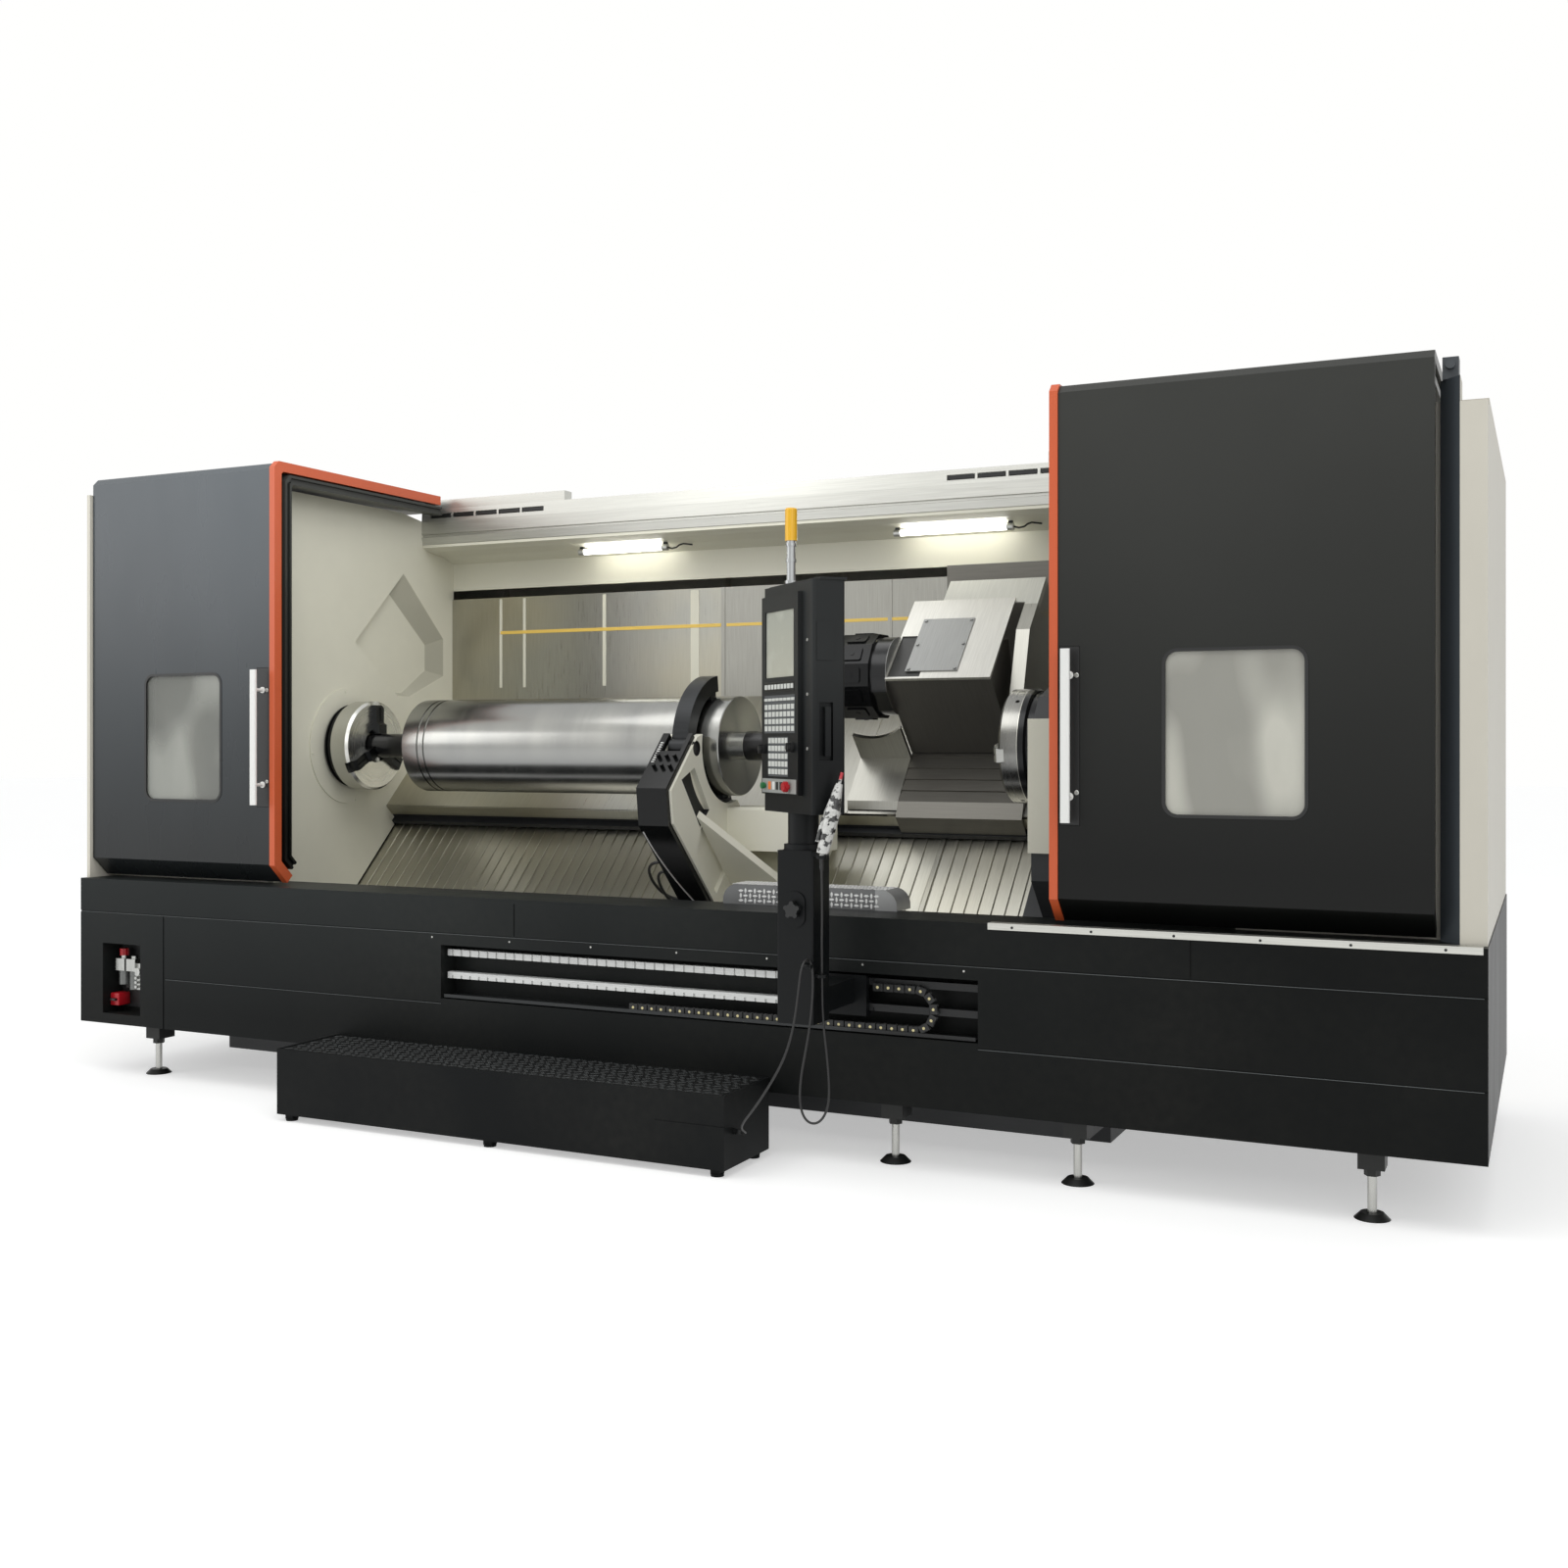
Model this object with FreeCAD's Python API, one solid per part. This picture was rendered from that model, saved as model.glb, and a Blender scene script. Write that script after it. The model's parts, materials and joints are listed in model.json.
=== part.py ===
"""Large slant-bed turning centre with two spindles, a steady rest and a twelve-station turret.

Millimetres. +X runs along the machine to the right as the operator sees it, +Y runs to the
back, +Z runs up. The origin is on the floor, in the middle of the bed's base.
"""
import FreeCAD, Part
import math
import os

V = FreeCAD.Vector

# ------------------------------------------------------------------ driving sizes

MACHINE_LENGTH = 6500.0
MACHINE_DEPTH = 2150.0          # skirt face to back panel
BED_LENGTH = 5400.0
BED_DEPTH = 1500.0
BED_SETBACK = 450.0             # bed base behind the skirt face
FLOOR_GAP = 256.0               # open height under the skirt
SILL_HEIGHT = 975.0
DOOR_TOP = 2985.0
SHEET = 4.0                     # sheet-metal gauge of the housing
HALF_LENGTH = MACHINE_LENGTH / 2
HALF_BED = BED_LENGTH / 2

SLANT = math.radians(45)
SPINDLE_SETBACK = 750.0         # spindle axis behind the skirt face
SPINDLE_HEIGHT = 1640.0

SLIDE_GAP = 0.3                 # between a slide and its way
RUNNING = 0.05                  # radial clearance of a shaft in its bore


def depth(distance):
    """Y of a point that lies a distance behind the skirt face."""
    return distance - BED_SETBACK - BED_DEPTH / 2


SKIRT_FACE = depth(0)
AXIS_Y = depth(SPINDLE_SETBACK)
AXIS_Z = SPINDLE_HEIGHT


# ------------------------------------------------------------------ geometry helpers

def block(x, y, z):
    """A box between three pairs of limits."""
    return Part.makeBox(x[1] - x[0], y[1] - y[0], z[1] - z[0], V(x[0], y[0], z[0]))


def extrude(points, direction):
    wire = Part.makePolygon(points + [points[0]])
    return Part.Face(wire).extrude(direction)


def bar_x(outline, x0, x1):
    """A (y, z) outline drawn out along X."""
    return extrude([V(x0, y, z) for y, z in outline], V(x1 - x0, 0, 0))


def bar_y(outline, y0, y1):
    """An (x, z) outline drawn out along Y."""
    return extrude([V(x, y0, z) for x, z in outline], V(0, y1 - y0, 0))


def bar_z(outline, z0, z1):
    """An (x, y) outline drawn out along Z."""
    return extrude([V(x, y, z0) for x, y in outline], V(0, 0, z1 - z0))


def rod(start, axis, radius, length):
    return Part.makeCylinder(radius, length, V(*start), V(*axis))


def turned(x_radius_pairs, y=AXIS_Y, z=AXIS_Z):
    """A shaft about an axis along X, from (x, radius) corners of its outline."""
    points = [V(x, y, z + r) for x, r in x_radius_pairs]
    points = [V(x_radius_pairs[0][0], y, z)] + points + [V(x_radius_pairs[-1][0], y, z)]
    face = Part.Face(Part.makePolygon(points + [points[0]]))
    return face.revolve(V(0, y, z), V(1, 0, 0), 360)


def fused(shapes):
    result = shapes[0].fuse(shapes[1:]) if len(shapes) > 1 else shapes[0]
    return result.removeSplitter()


def cut_all(shape, tools):
    return shape.cut(Part.makeCompound(tools)) if tools else shape


def slant(u, n):
    """(y, z) of a point u up the slope and n out of it, from the spindle axis."""
    return (AXIS_Y + u * math.cos(SLANT) - n * math.sin(SLANT),
            AXIS_Z + u * math.sin(SLANT) + n * math.cos(SLANT))


def slant_bar(outline, x0, x1):
    """A (u, n) outline drawn out along X."""
    return bar_x([slant(u, n) for u, n in outline], x0, x1)


def slant_box(x, u, n):
    return slant_bar([(u[0], n[0]), (u[1], n[0]), (u[1], n[1]), (u[0], n[1])], x[0], x[1])


def around_axis(radius, angle):
    """(y, z) on a circle about the spindle axis; 0 degrees points to the back."""
    return (AXIS_Y + radius * math.cos(math.radians(angle)),
            AXIS_Z + radius * math.sin(math.radians(angle)))


def inward(angle):
    """Direction from a point on that circle towards the axis."""
    return (0, -math.cos(math.radians(angle)), -math.sin(math.radians(angle)))


def arc_bar(inner, outer, start, end, x0, x1):
    """A curved bar about the spindle axis between two angles, with true arcs."""
    middle = (start + end) / 2
    corner = {(r, a): V(x0, *around_axis(r, a)) for r in (inner, outer) for a in (start, middle, end)}
    edges = [
        Part.Arc(corner[inner, start], corner[inner, middle], corner[inner, end]).toShape(),
        Part.LineSegment(corner[inner, end], corner[outer, end]).toShape(),
        Part.Arc(corner[outer, end], corner[outer, middle], corner[outer, start]).toShape(),
        Part.LineSegment(corner[outer, start], corner[inner, start]).toShape(),
    ]
    return Part.Face(Part.Wire(edges)).extrude(V(x1 - x0, 0, 0))


def round_edges(shape, radius, direction, keep=None):
    """Rounds the straight edges that run along a direction, or those of them that keep() picks."""
    picked = []
    for edge in shape.Edges:
        if not isinstance(edge.Curve, (Part.Line, Part.LineSegment)):
            continue
        along = edge.Vertexes[-1].Point - edge.Vertexes[0].Point
        if along.Length < 1e-6 or abs(abs(along.normalize().dot(V(*direction))) - 1) > 1e-6:
            continue
        if keep is None or keep(edge.CenterOfMass):
            picked.append(edge)
    return shape.makeFillet(radius, picked) if picked else shape


def round_plate(x, y, z, radius, axis):
    """A box whose four edges along one axis are rounded."""
    return round_edges(block(x, y, z), radius, axis)


# ------------------------------------------------------------------ bed

LOWER_COVER = -550.0            # n of the lower lamella cover's face
UPPER_COVER = -430.0            # n of the upper slope cover's face
COVER_ROOM = 50.0               # between a cover's face and the casting
WAY_HEIGHT = 30.0
WAY_WIDTH = 60.0
LOWER_BED = LOWER_COVER - COVER_ROOM
UPPER_BED = UPPER_COVER - COVER_ROOM
STEP_U = -20.0                  # u of the step between the two slopes
LOWER_END_U = -640.0
WALL_SETBACK = 1620.0           # back wall of the work room
UPPER_END_U = 840.0
REAR_RAIL_HEIGHT = 2440.0
REAR_RAIL_SETBACK = 1760.0
LOWER_WAY_US = (-580.0, -110.0)
TOE_HEIGHT = 90.0
TOE_DEPTH = 350.0
UNDERCUT_X = 1790.0            # the bed stands on its longer left part
UNDERCUT_Z = 420.0

LOWER_WAY_TOP = LOWER_BED + WAY_HEIGHT
STEP_RAIL_U = (-48.0, STEP_U + 1)
STEP_RAIL_N = (-544.0, -520.0)


def bed_casting():
    """One stepped casting: a slanted lower bed, a slanted upper bed and a rear wall with its rail."""
    front, back = depth(BED_SETBACK), depth(BED_SETBACK + BED_DEPTH)
    rail_y = depth(REAR_RAIL_SETBACK)
    foot = slant(LOWER_END_U, LOWER_BED)
    crest = slant(UPPER_END_U, UPPER_BED)
    outline = [
        (front, 0), (front, 400), (foot[0], foot[1] - 60), foot,
        slant(STEP_U, LOWER_BED), slant(STEP_U, UPPER_BED), crest,
        (rail_y - 40, crest[1] + 60), (rail_y - 40, REAR_RAIL_HEIGHT - 40),
        (rail_y + 90, REAR_RAIL_HEIGHT - 40), (rail_y + 90, 1900), (back, 1500), (back, 0),
    ]
    casting = bar_x(outline, -HALF_BED, HALF_BED)
    ways = [slant_box((-HALF_BED, HALF_BED), (u, u + WAY_WIDTH), (LOWER_BED - 1, LOWER_WAY_TOP))
            for u in LOWER_WAY_US]
    ways.append(block((-HALF_BED, HALF_BED), (rail_y - 20, rail_y + 25),
                      (REAR_RAIL_HEIGHT - 41, REAR_RAIL_HEIGHT)))
    ways.append(slant_box((-HALF_BED, HALF_BED), STEP_RAIL_U, STEP_RAIL_N))
    toe = block((-HALF_BED - 1, HALF_BED + 1), (front - 1, front + TOE_DEPTH), (-1, TOE_HEIGHT))
    undercut = block((UNDERCUT_X, HALF_BED + 1), (front - 1, back + 1), (-1, UNDERCUT_Z))
    return cut_all(fused([casting] + ways), [toe, undercut])


FOOT_XS = (-2874.0, -1829.0, 0.0, 1094.0, 1829.0, 2874.0)
FOOT_SETBACK = 150.0
STEM_R = 16.0


def levelling_feet():
    """Threaded stems on round pads that carry the housing's floor frame, front and back."""
    feet = []
    for y in (depth(FOOT_SETBACK), depth(MACHINE_DEPTH - 80)):
        for x in FOOT_XS:
            pad = Part.makeCone(62, 40, 22, V(x, y, 0))
            stem = rod((x, y, 20), (0, 0, 1), STEM_R, FLOOR_GAP - 20)
            nut = bar_z([(x + 28 * math.cos(a), y + 28 * math.sin(a))
                         for a in [math.radians(60 * k) for k in range(6)]], 150, 176)
            bracket = block((x - 45, x + 45), (y - 40, y + 60), (176, FLOOR_GAP))
            feet.append(fused([pad, stem, nut, bracket]))
    return Part.makeCompound(feet)


# ------------------------------------------------------------------ skirt, slot and what hangs on it

SKIRT_PLATE = 6.0
SLOT_X = (-1012.0, 1486.0)
SLOT_Z = (520.0, 758.0)
SLOT_DEPTH = 110.0
RECESS_X = (-3096.0, -2841.0)
RECESS_Z = (307.0, 656.0)
RECESS_DEPTH = 120.0
SILL_DEPTH = 300.0
SEAM_UPPER = 810.0
SEAM_LOWER = 500.0
SEAM_X = -2684.0
SEAM_WIDTH = 8.0
SEAM_DEPTH = 4.0


def tray(x, z, back):
    """A pressed tray behind an opening in the skirt, open to the front."""
    front = SKIRT_FACE + SKIRT_PLATE - 1
    outer = block((x[0] - SHEET, x[1] + SHEET), (front, SKIRT_FACE + back + SHEET),
                  (z[0] - SHEET, z[1] + SHEET))
    inner = block(x, (front - 1, SKIRT_FACE + back), z)
    return outer.cut(inner)


def front_skirt():
    """The long folded skirt: face, sill, return lip, slot tray and service recess."""
    face = block((-HALF_LENGTH, HALF_LENGTH), (SKIRT_FACE, SKIRT_FACE + SKIRT_PLATE),
                 (FLOOR_GAP, SILL_HEIGHT))
    sill = block((-HALF_LENGTH, HALF_LENGTH), (SKIRT_FACE, depth(SILL_DEPTH)),
                 (SILL_HEIGHT - SHEET, SILL_HEIGHT))
    lip = block((-HALF_LENGTH, HALF_LENGTH), (depth(SILL_DEPTH) - SHEET, depth(SILL_DEPTH)),
                (SILL_HEIGHT - 70, SILL_HEIGHT))
    foot = block((-HALF_LENGTH, HALF_LENGTH), (SKIRT_FACE, depth(FOOT_SETBACK) + 60),
                 (FLOOR_GAP, FLOOR_GAP + SHEET))
    rear_foot = block((-HALF_LENGTH, HALF_LENGTH), (depth(MACHINE_DEPTH) - 140, depth(MACHINE_DEPTH) - SHEET),
                      (FLOOR_GAP, FLOOR_GAP + SHEET))
    ends = [block((x, x + SHEET), (SKIRT_FACE, depth(MACHINE_DEPTH)), (FLOOR_GAP, SILL_HEIGHT))
            for x in (-HALF_LENGTH, HALF_LENGTH - SHEET)]
    openings = [block(x, (SKIRT_FACE - 1, SKIRT_FACE + SKIRT_PLATE + 1), z)
                for x, z in ((SLOT_X, SLOT_Z), (RECESS_X, RECESS_Z))]
    shell = cut_all(fused([face, sill, lip, foot, rear_foot] + ends), openings + skirt_seams())
    return fused([shell, tray(SLOT_X, SLOT_Z, SLOT_DEPTH), tray(RECESS_X, RECESS_Z, RECESS_DEPTH)])


def skirt_seams():
    """Joints between the skirt's panels, cut as shallow grooves in its face."""
    y = (SKIRT_FACE - 1, SKIRT_FACE + SEAM_DEPTH)
    half = SEAM_WIDTH / 2
    lines = [((-HALF_LENGTH - 1, HALF_LENGTH + 1), SEAM_UPPER), ((SEAM_X, SLOT_X[0]), SEAM_LOWER),
             ((SLOT_X[1], HALF_LENGTH + 1), SEAM_LOWER)]
    seams = [block(x, y, (z - half, z + half)) for x, z in lines]
    seams.append(block((SEAM_X - half, SEAM_X + half), y, (FLOOR_GAP - 1, SEAM_UPPER)))
    for x in (-620.0, 2280.0):
        seams.append(block((x - half, x + half), y, (SEAM_UPPER, SILL_HEIGHT - 20)))
    return seams


LEDGE_X = (1525.0, 3235.0)
LEDGE_DROP = 22.0
LEDGE_SHEET = 3.0


def ledge_strip():
    """Bright guard strip screwed on the skirt's upper edge under the right door."""
    y, z = SKIRT_FACE, SILL_HEIGHT
    outline = [(y - LEDGE_SHEET, z - LEDGE_DROP), (y, z - LEDGE_DROP), (y, z), (y + 46, z),
               (y + 46, z + LEDGE_SHEET), (y - LEDGE_SHEET, z + LEDGE_SHEET)]
    return bar_x(outline, *LEDGE_X)


RAIL_ZS = (722.0, 622.0)
RAIL_HEIGHT = 28.0
RAIL_PROUD = 34.0               # rail face behind the skirt's face
RAIL_DEPTH = 30.0
NOTCH_PITCH = 47.0
NOTCH_WIDTH = 9.0
NOTCH_DEPTH = 6.0
NOTCH_END_X = 1100.0


def pendant_rails():
    """Two guide rails notched at a steady pitch, the lower one half as high, and the chain's shelf."""
    rails = []
    length = (SLOT_X[0] + 12, SLOT_X[1] - 12)
    y0 = SKIRT_FACE + RAIL_PROUD
    count = int((NOTCH_END_X - length[0]) / NOTCH_PITCH)
    starts = [length[0] + NOTCH_PITCH * (i + 0.5) for i in range(count)]
    for z, notch_top in zip(RAIL_ZS, (RAIL_HEIGHT / 2 + 1, 0)):
        rail = block(length, (y0, y0 + RAIL_DEPTH), (z - RAIL_HEIGHT / 2, z + RAIL_HEIGHT / 2))
        spacer = block(length, (y0 + RAIL_DEPTH, SKIRT_FACE + SLOT_DEPTH), (z - 8, z + 8))
        notches = [block((x, x + NOTCH_WIDTH), (y0 - 1, y0 + NOTCH_DEPTH),
                         (z - RAIL_HEIGHT / 2 - 1, z + notch_top)) for x in starts]
        rails.append(cut_all(fused([rail, spacer]), notches))
    shelf_z = CHAIN_LOW_Z - CHAIN_THICK / 2
    shelf = block(length, (SKIRT_FACE + 10, SKIRT_FACE + SLOT_DEPTH), (shelf_z - 5, shelf_z))
    edge = block(length, (SKIRT_FACE + 8, SKIRT_FACE + 11), (shelf_z - 5, shelf_z + 9))
    return Part.makeCompound(rails + [fused([shelf, edge])])


def service_unit():
    """Air service unit in the skirt's recess: filter bowl, regulator body, manifold and gauge."""
    x0 = RECESS_X[0] + 38
    y = SKIRT_FACE + 72
    top = RECESS_Z[1] - 80
    back = SKIRT_FACE + RECESS_DEPTH
    plate = block((RECESS_X[0] + 14, RECESS_X[1] - 14), (back - 6, back),
                  (RECESS_Z[0] + 20, RECESS_Z[1] - 20))
    parts = [plate]
    for i, bowl in enumerate((70.0, 92.0)):
        x = x0 + 32 + 72 * i
        parts.append(block((x - 30, x + 30), (y - 28, back - 6), (top - 60, top)))
        parts.append(rod((x, y, top - 60 - bowl), (0, 0, 1), 24, bowl))
        parts.append(rod((x, y, top), (0, 0, 1), 17, 14))
    parts.append(block((x0 + 130, x0 + 168), (y - 18, back - 6), (top - 150, top - 20)))
    parts.append(rod((x0 + 149, y - 19, top - 60), (0, -1, 0), 20, 12))
    for i in range(3):
        parts.append(rod((x0 + 149, y - 18, top - 90 - 22 * i), (0, -1, 0), 8, 20))
    return fused(parts)


KNOB_X = RECESS_X[0] + 38 + 32
KNOB_Z = RECESS_Z[1] - 80 + 14


def service_knob():
    """Fluted regulator knob that turns on the unit's neck."""
    centre = (KNOB_X, SKIRT_FACE + 72)
    knob = rod((centre[0], centre[1], KNOB_Z + SLIDE_GAP), (0, 0, 1), 22, 34)
    flutes = [rod((centre[0] + 25 * math.cos(a), centre[1] + 25 * math.sin(a), KNOB_Z - 1), (0, 0, 1), 5, 40)
              for a in [math.radians(45 * k) for k in range(8)]]
    return cut_all(knob, flutes)


STEP_X = (-1600.0, 610.0)
STEP_REACH = 387.0
STEP_TOP = 316.0
STEP_GAP = 30.0


def step_platform():
    """The operator's step: a folded box open underneath, with a raised rim and four pads."""
    y = (SKIRT_FACE - STEP_REACH, SKIRT_FACE - 2)
    shell = block(STEP_X, y, (STEP_GAP, STEP_TOP))
    hollow = block((STEP_X[0] + SHEET, STEP_X[1] - SHEET), (y[0] + SHEET, y[1] - SHEET),
                   (STEP_GAP - 1, STEP_TOP - SHEET))
    treadwell = block((STEP_X[0] + 12, STEP_X[1] - 12), (y[0] + 12, y[1] - 12), (STEP_TOP - 2, STEP_TOP + 1))
    seam = block((STEP_X[1] - 300, STEP_X[1] + 1), (y[0] - 1, y[0] + 2), (196, 200))
    legs = []
    for x in (STEP_X[0] + 50, -495, STEP_X[1] - 50):
        for leg_y in (y[0] + 40, y[1] - 40):
            legs.append(block((x - 20, x + 20), (leg_y - 20, leg_y + 20), (8, STEP_TOP - SHEET)))
            legs.append(rod((x, leg_y, 0), (0, 0, 1), 26, 10))
    fitting = rod((STEP_X[1] - 1, HOSE_END[1], HOSE_END[2]), (1, 0, 0), 12, HOSE_END[0] - STEP_X[1] + 1)
    return fused([cut_all(shell, [hollow, treadwell, seam])] + legs + [fitting])


TREAD_X = (270.0, 1060.0)
TREAD_HEIGHT = 84.0
TREAD_SETBACK = 250.0
TREAD_DEPTH = 150.0


def tread_plate():
    """Tread over the sill for getting in: a low box whose ends are rounded cheeks."""
    y0, z0 = depth(TREAD_SETBACK), SILL_HEIGHT
    body = block(TREAD_X, (y0, y0 + TREAD_DEPTH), (z0, z0 + TREAD_HEIGHT))
    return round_edges(body, TREAD_HEIGHT * 0.8, (0, 1, 0), lambda c: c.z > z0 + TREAD_HEIGHT / 2)


# ------------------------------------------------------------------ housing

CABIN_SETBACK = 200.0
CABIN_TOP = 2830.0
POST_WIDTH = 20.0               # end post beside the left door
POST_SETBACK = 35.0
POST_TOP = 2905.0
LEFT_WALL_X = -2170.0           # face of the work room's left wall
LEFT_WALL_THICKNESS = 40.0
RIGHT_WALL_X = 2400.0
BEAM_SETBACK = 1335.0


def left_cabin():
    """Sheet housing over the main headstock, open to the bed and to the work room."""
    x = (-HALF_LENGTH + SHEET, LEFT_WALL_X - LEFT_WALL_THICKNESS)
    y = (depth(CABIN_SETBACK), depth(MACHINE_DEPTH))
    z = (SILL_HEIGHT, CABIN_TOP)
    hollow = block((x[0] + SHEET, x[1] + 1), (y[0] + SHEET, y[1] - SHEET), (z[0] - 1, z[1] - SHEET))
    shell = block(x, y, z).cut(hollow)
    stiffeners = [block((x[0] + SHEET, x[1]), (y[1] - 60, y[1] - SHEET), (height, height + 40))
                  for height in (1400, 2000, 2600)]
    post = block((x[0], x[0] + POST_WIDTH), (depth(POST_SETBACK), y[0] + SHEET), (SILL_HEIGHT, POST_TOP))
    return fused([shell, post] + stiffeners)


COLUMN_X = (3160.0, HALF_LENGTH)
COLUMN_SETBACK = 60.0
COLUMN_TOP = 2800.0
CORNER_TOP = 2890.0
BOX_TOP = 2965.0


def right_cabin():
    """Housing at the right end: outer side, cream column, slanted corner panel and roof."""
    x = (RIGHT_WALL_X, HALF_LENGTH - SHEET)
    y = (depth(CABIN_SETBACK), depth(MACHINE_DEPTH))
    outer = block(x, y, (SILL_HEIGHT, CABIN_TOP))
    hollow = block((x[0] - 1, x[1] - SHEET), (y[0] + SHEET, y[1] - SHEET),
                   (SILL_HEIGHT - 1, CABIN_TOP - SHEET))
    shell = fused([outer.cut(hollow), bar_x(room_outline(), x[0], x[0] + SHEET)])
    column = block((COLUMN_X[0], COLUMN_X[1] - SHEET), (depth(COLUMN_SETBACK), y[0] + 1),
                   (SILL_HEIGHT, COLUMN_TOP))
    corner = bar_z([(COLUMN_X[0] + 1, depth(COLUMN_SETBACK) + 6), (COLUMN_X[0] + 1, y[0] + 1),
                    (DOOR_OUTER_X[1] + 12, y[0] + 1), (DOOR_OUTER_X[1] + 12, depth(150))],
                   SILL_HEIGHT, CORNER_TOP)
    box = block((DOOR_OUTER_X[1] + 20, DOOR_OUTER_X[1] + 72), (depth(120), depth(190)),
                (CORNER_TOP, BOX_TOP))
    plug = rod((DOOR_OUTER_X[1] + 46, depth(120), CORNER_TOP + 46), (0, -1, 0), 15, 24)
    return fused([shell, column, corner, box, plug])


LOUVRE_COUNT = 9


def rear_enclosure():
    """Back panels between the end housings, with louvred doors and a narrow roof."""
    x = (LEFT_WALL_X - LEFT_WALL_THICKNESS, RIGHT_WALL_X)
    back = depth(MACHINE_DEPTH)
    panel = block(x, (back - SHEET, back), (FLOOR_GAP, CABIN_TOP))
    roof = block(x, (depth(WALL_SETBACK) + 21, back), (CABIN_TOP - SHEET, CABIN_TOP))
    skirt = [block((a, b), (back - SHEET, back), (FLOOR_GAP, SILL_HEIGHT))
             for a, b in ((-HALF_LENGTH + SHEET, x[0] + 1), (x[1] - 1, HALF_LENGTH - SHEET))]
    louvres = []
    for middle in (-1500.0, 100.0, 1700.0):
        for i in range(LOUVRE_COUNT):
            z = 700.0 + 60.0 * i
            slit = [(back - SHEET, z), (back + 1, z), (back + 1, z + 14), (back - SHEET, z + 8)]
            louvres.append(bar_x(slit, middle - 220, middle + 220))
    ribs = [block((rib - 20, rib + 20), (back - 60, back - SHEET), (FLOOR_GAP + SHEET, CABIN_TOP - SHEET))
            for rib in (-2180.0, -700.0, 900.0, 2380.0)]
    return fused([cut_all(panel, louvres), roof] + skirt + ribs)


# ------------------------------------------------------------------ work room

WALL_FRONT_SETBACK = 200.0
WALL_TOP = 2895.0
SPINDLE_HOLE_R = 172.0
SURROUND_R = 300.0
HEX_POCKET = 34.0


def room_outline():
    """(y, z) corners of the work room's end walls, down to the covers and the skirt's sill."""
    back = depth(WALL_SETBACK)
    front = depth(WALL_FRONT_SETBACK)
    lip = depth(SILL_DEPTH) + 1
    return [
        (front, SILL_HEIGHT), (front, WALL_TOP), (depth(1170), WALL_TOP), (depth(1330), WALL_TOP - 25),
        (back, WALL_TOP - 110), (back, slant(UPPER_END_U, UPPER_COVER)[1]),
        slant(UPPER_END_U - 40, UPPER_COVER), slant(STEP_U, UPPER_COVER), slant(STEP_U, STEP_RAIL_N[1]),
        slant(STEP_RAIL_U[0], STEP_RAIL_N[1]), slant(STEP_RAIL_U[0], LOWER_COVER),
        slant(LOWER_END_U, LOWER_COVER), (lip, SILL_HEIGHT - 70), (lip, SILL_HEIGHT),
    ]


def left_inner_wall():
    """Cream end wall with the spindle hole, its round surround and a bevelled six-sided pocket."""
    x = (LEFT_WALL_X - LEFT_WALL_THICKNESS, LEFT_WALL_X)
    wall = bar_x(room_outline(), *x)
    surround = rod((LEFT_WALL_X - 1, AXIS_Y, AXIS_Z), (1, 0, 0), SURROUND_R, 7)
    hole = rod((x[0] - 1, AXIS_Y, AXIS_Z), (1, 0, 0), SPINDLE_HOLE_R, 100)
    screws = [rod((LEFT_WALL_X + 5, *around_axis(SURROUND_R - 18, a)), (1, 0, 0), 7, 5)
              for a in (8, 98, 188, 278)]
    return fused([cut_all(fused([wall, surround]), [hole, hex_pocket()])] + screws)


def hex_pocket():
    """The pocket's outline is wider at the wall's face than at its floor: bevels on the back side."""
    mouth = [(790, 2178), (1185, 2573), (1530, 2237), (1530, 2027), (1230, 1905), (1130, 1905)]
    floor = [(800, 2178), (1085, 2462), (1400, 2195), (1400, 2055), (1200, 1925), (1140, 1925)]
    wires = []
    for x, ring in ((LEFT_WALL_X + 1, mouth), (LEFT_WALL_X - HEX_POCKET, floor)):
        points = [V(x, depth(d), z) for d, z in ring]
        wires.append(Part.makePolygon(points + [points[0]]))
    return Part.makeLoft(wires, True, True)


WALL_SLOT_Z = (2470.0, 2510.0)
COVE_Z = 2690.0
BEAM_TOP = 2930.0
BACK_X = (LEFT_WALL_X, RIGHT_WALL_X)


def back_wall():
    """Upper back wall of the work room, with the cove under the beam, above the carriage's slot."""
    face = depth(WALL_SETBACK)
    outline = [
        (face, WALL_SLOT_Z[1]), (face + 20, WALL_SLOT_Z[1]), (face + 20, BEAM_TOP - 60),
        (depth(BEAM_SETBACK) + 150, BEAM_TOP - 60), (depth(BEAM_SETBACK) + 150, BEAM_TOP - 190),
        (depth(BEAM_SETBACK) + 10, BEAM_TOP - 190), (depth(BEAM_SETBACK) + 10, BEAM_TOP - 206),
        (depth(BEAM_SETBACK) + 70, BEAM_TOP - 225), (face - 90, COVE_Z), (face, COVE_Z - 30),
    ]
    return bar_x(outline, *BACK_X)


def back_beam():
    """Aluminium beam over the back wall, with the doors' guide channels on its front and top."""
    y0 = depth(BEAM_SETBACK)
    z0 = BEAM_TOP - 189.0
    outline = [(y0, z0 + 55), (y0 + 12, z0 + 52), (y0 + 12, z0 + 42), (y0, z0 + 38), (y0 + 6, z0),
               (y0 + 148, z0), (y0 + 148, z0 + 128), (y0 + 150, BEAM_TOP), (y0 + 4, BEAM_TOP), (y0, z0 + 120)]
    beam = bar_x(outline, *BACK_X)
    guides = [block(x, (y0 + 30, y0 + 100), (BEAM_TOP - 1, BEAM_TOP + 54))
              for x in ((BACK_X[0] + 5, -1260.0), (1360.0, BACK_X[1] - 5))]
    slots = []
    for first in (-2110.0, 880.0):
        for i in range(5):
            start = first + 150 * i
            slots.append(block((start, start + 138), (y0 - 1, y0 + 14), (BEAM_TOP - 50, BEAM_TOP - 24)))
    return cut_all(fused([beam] + guides), slots)


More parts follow.
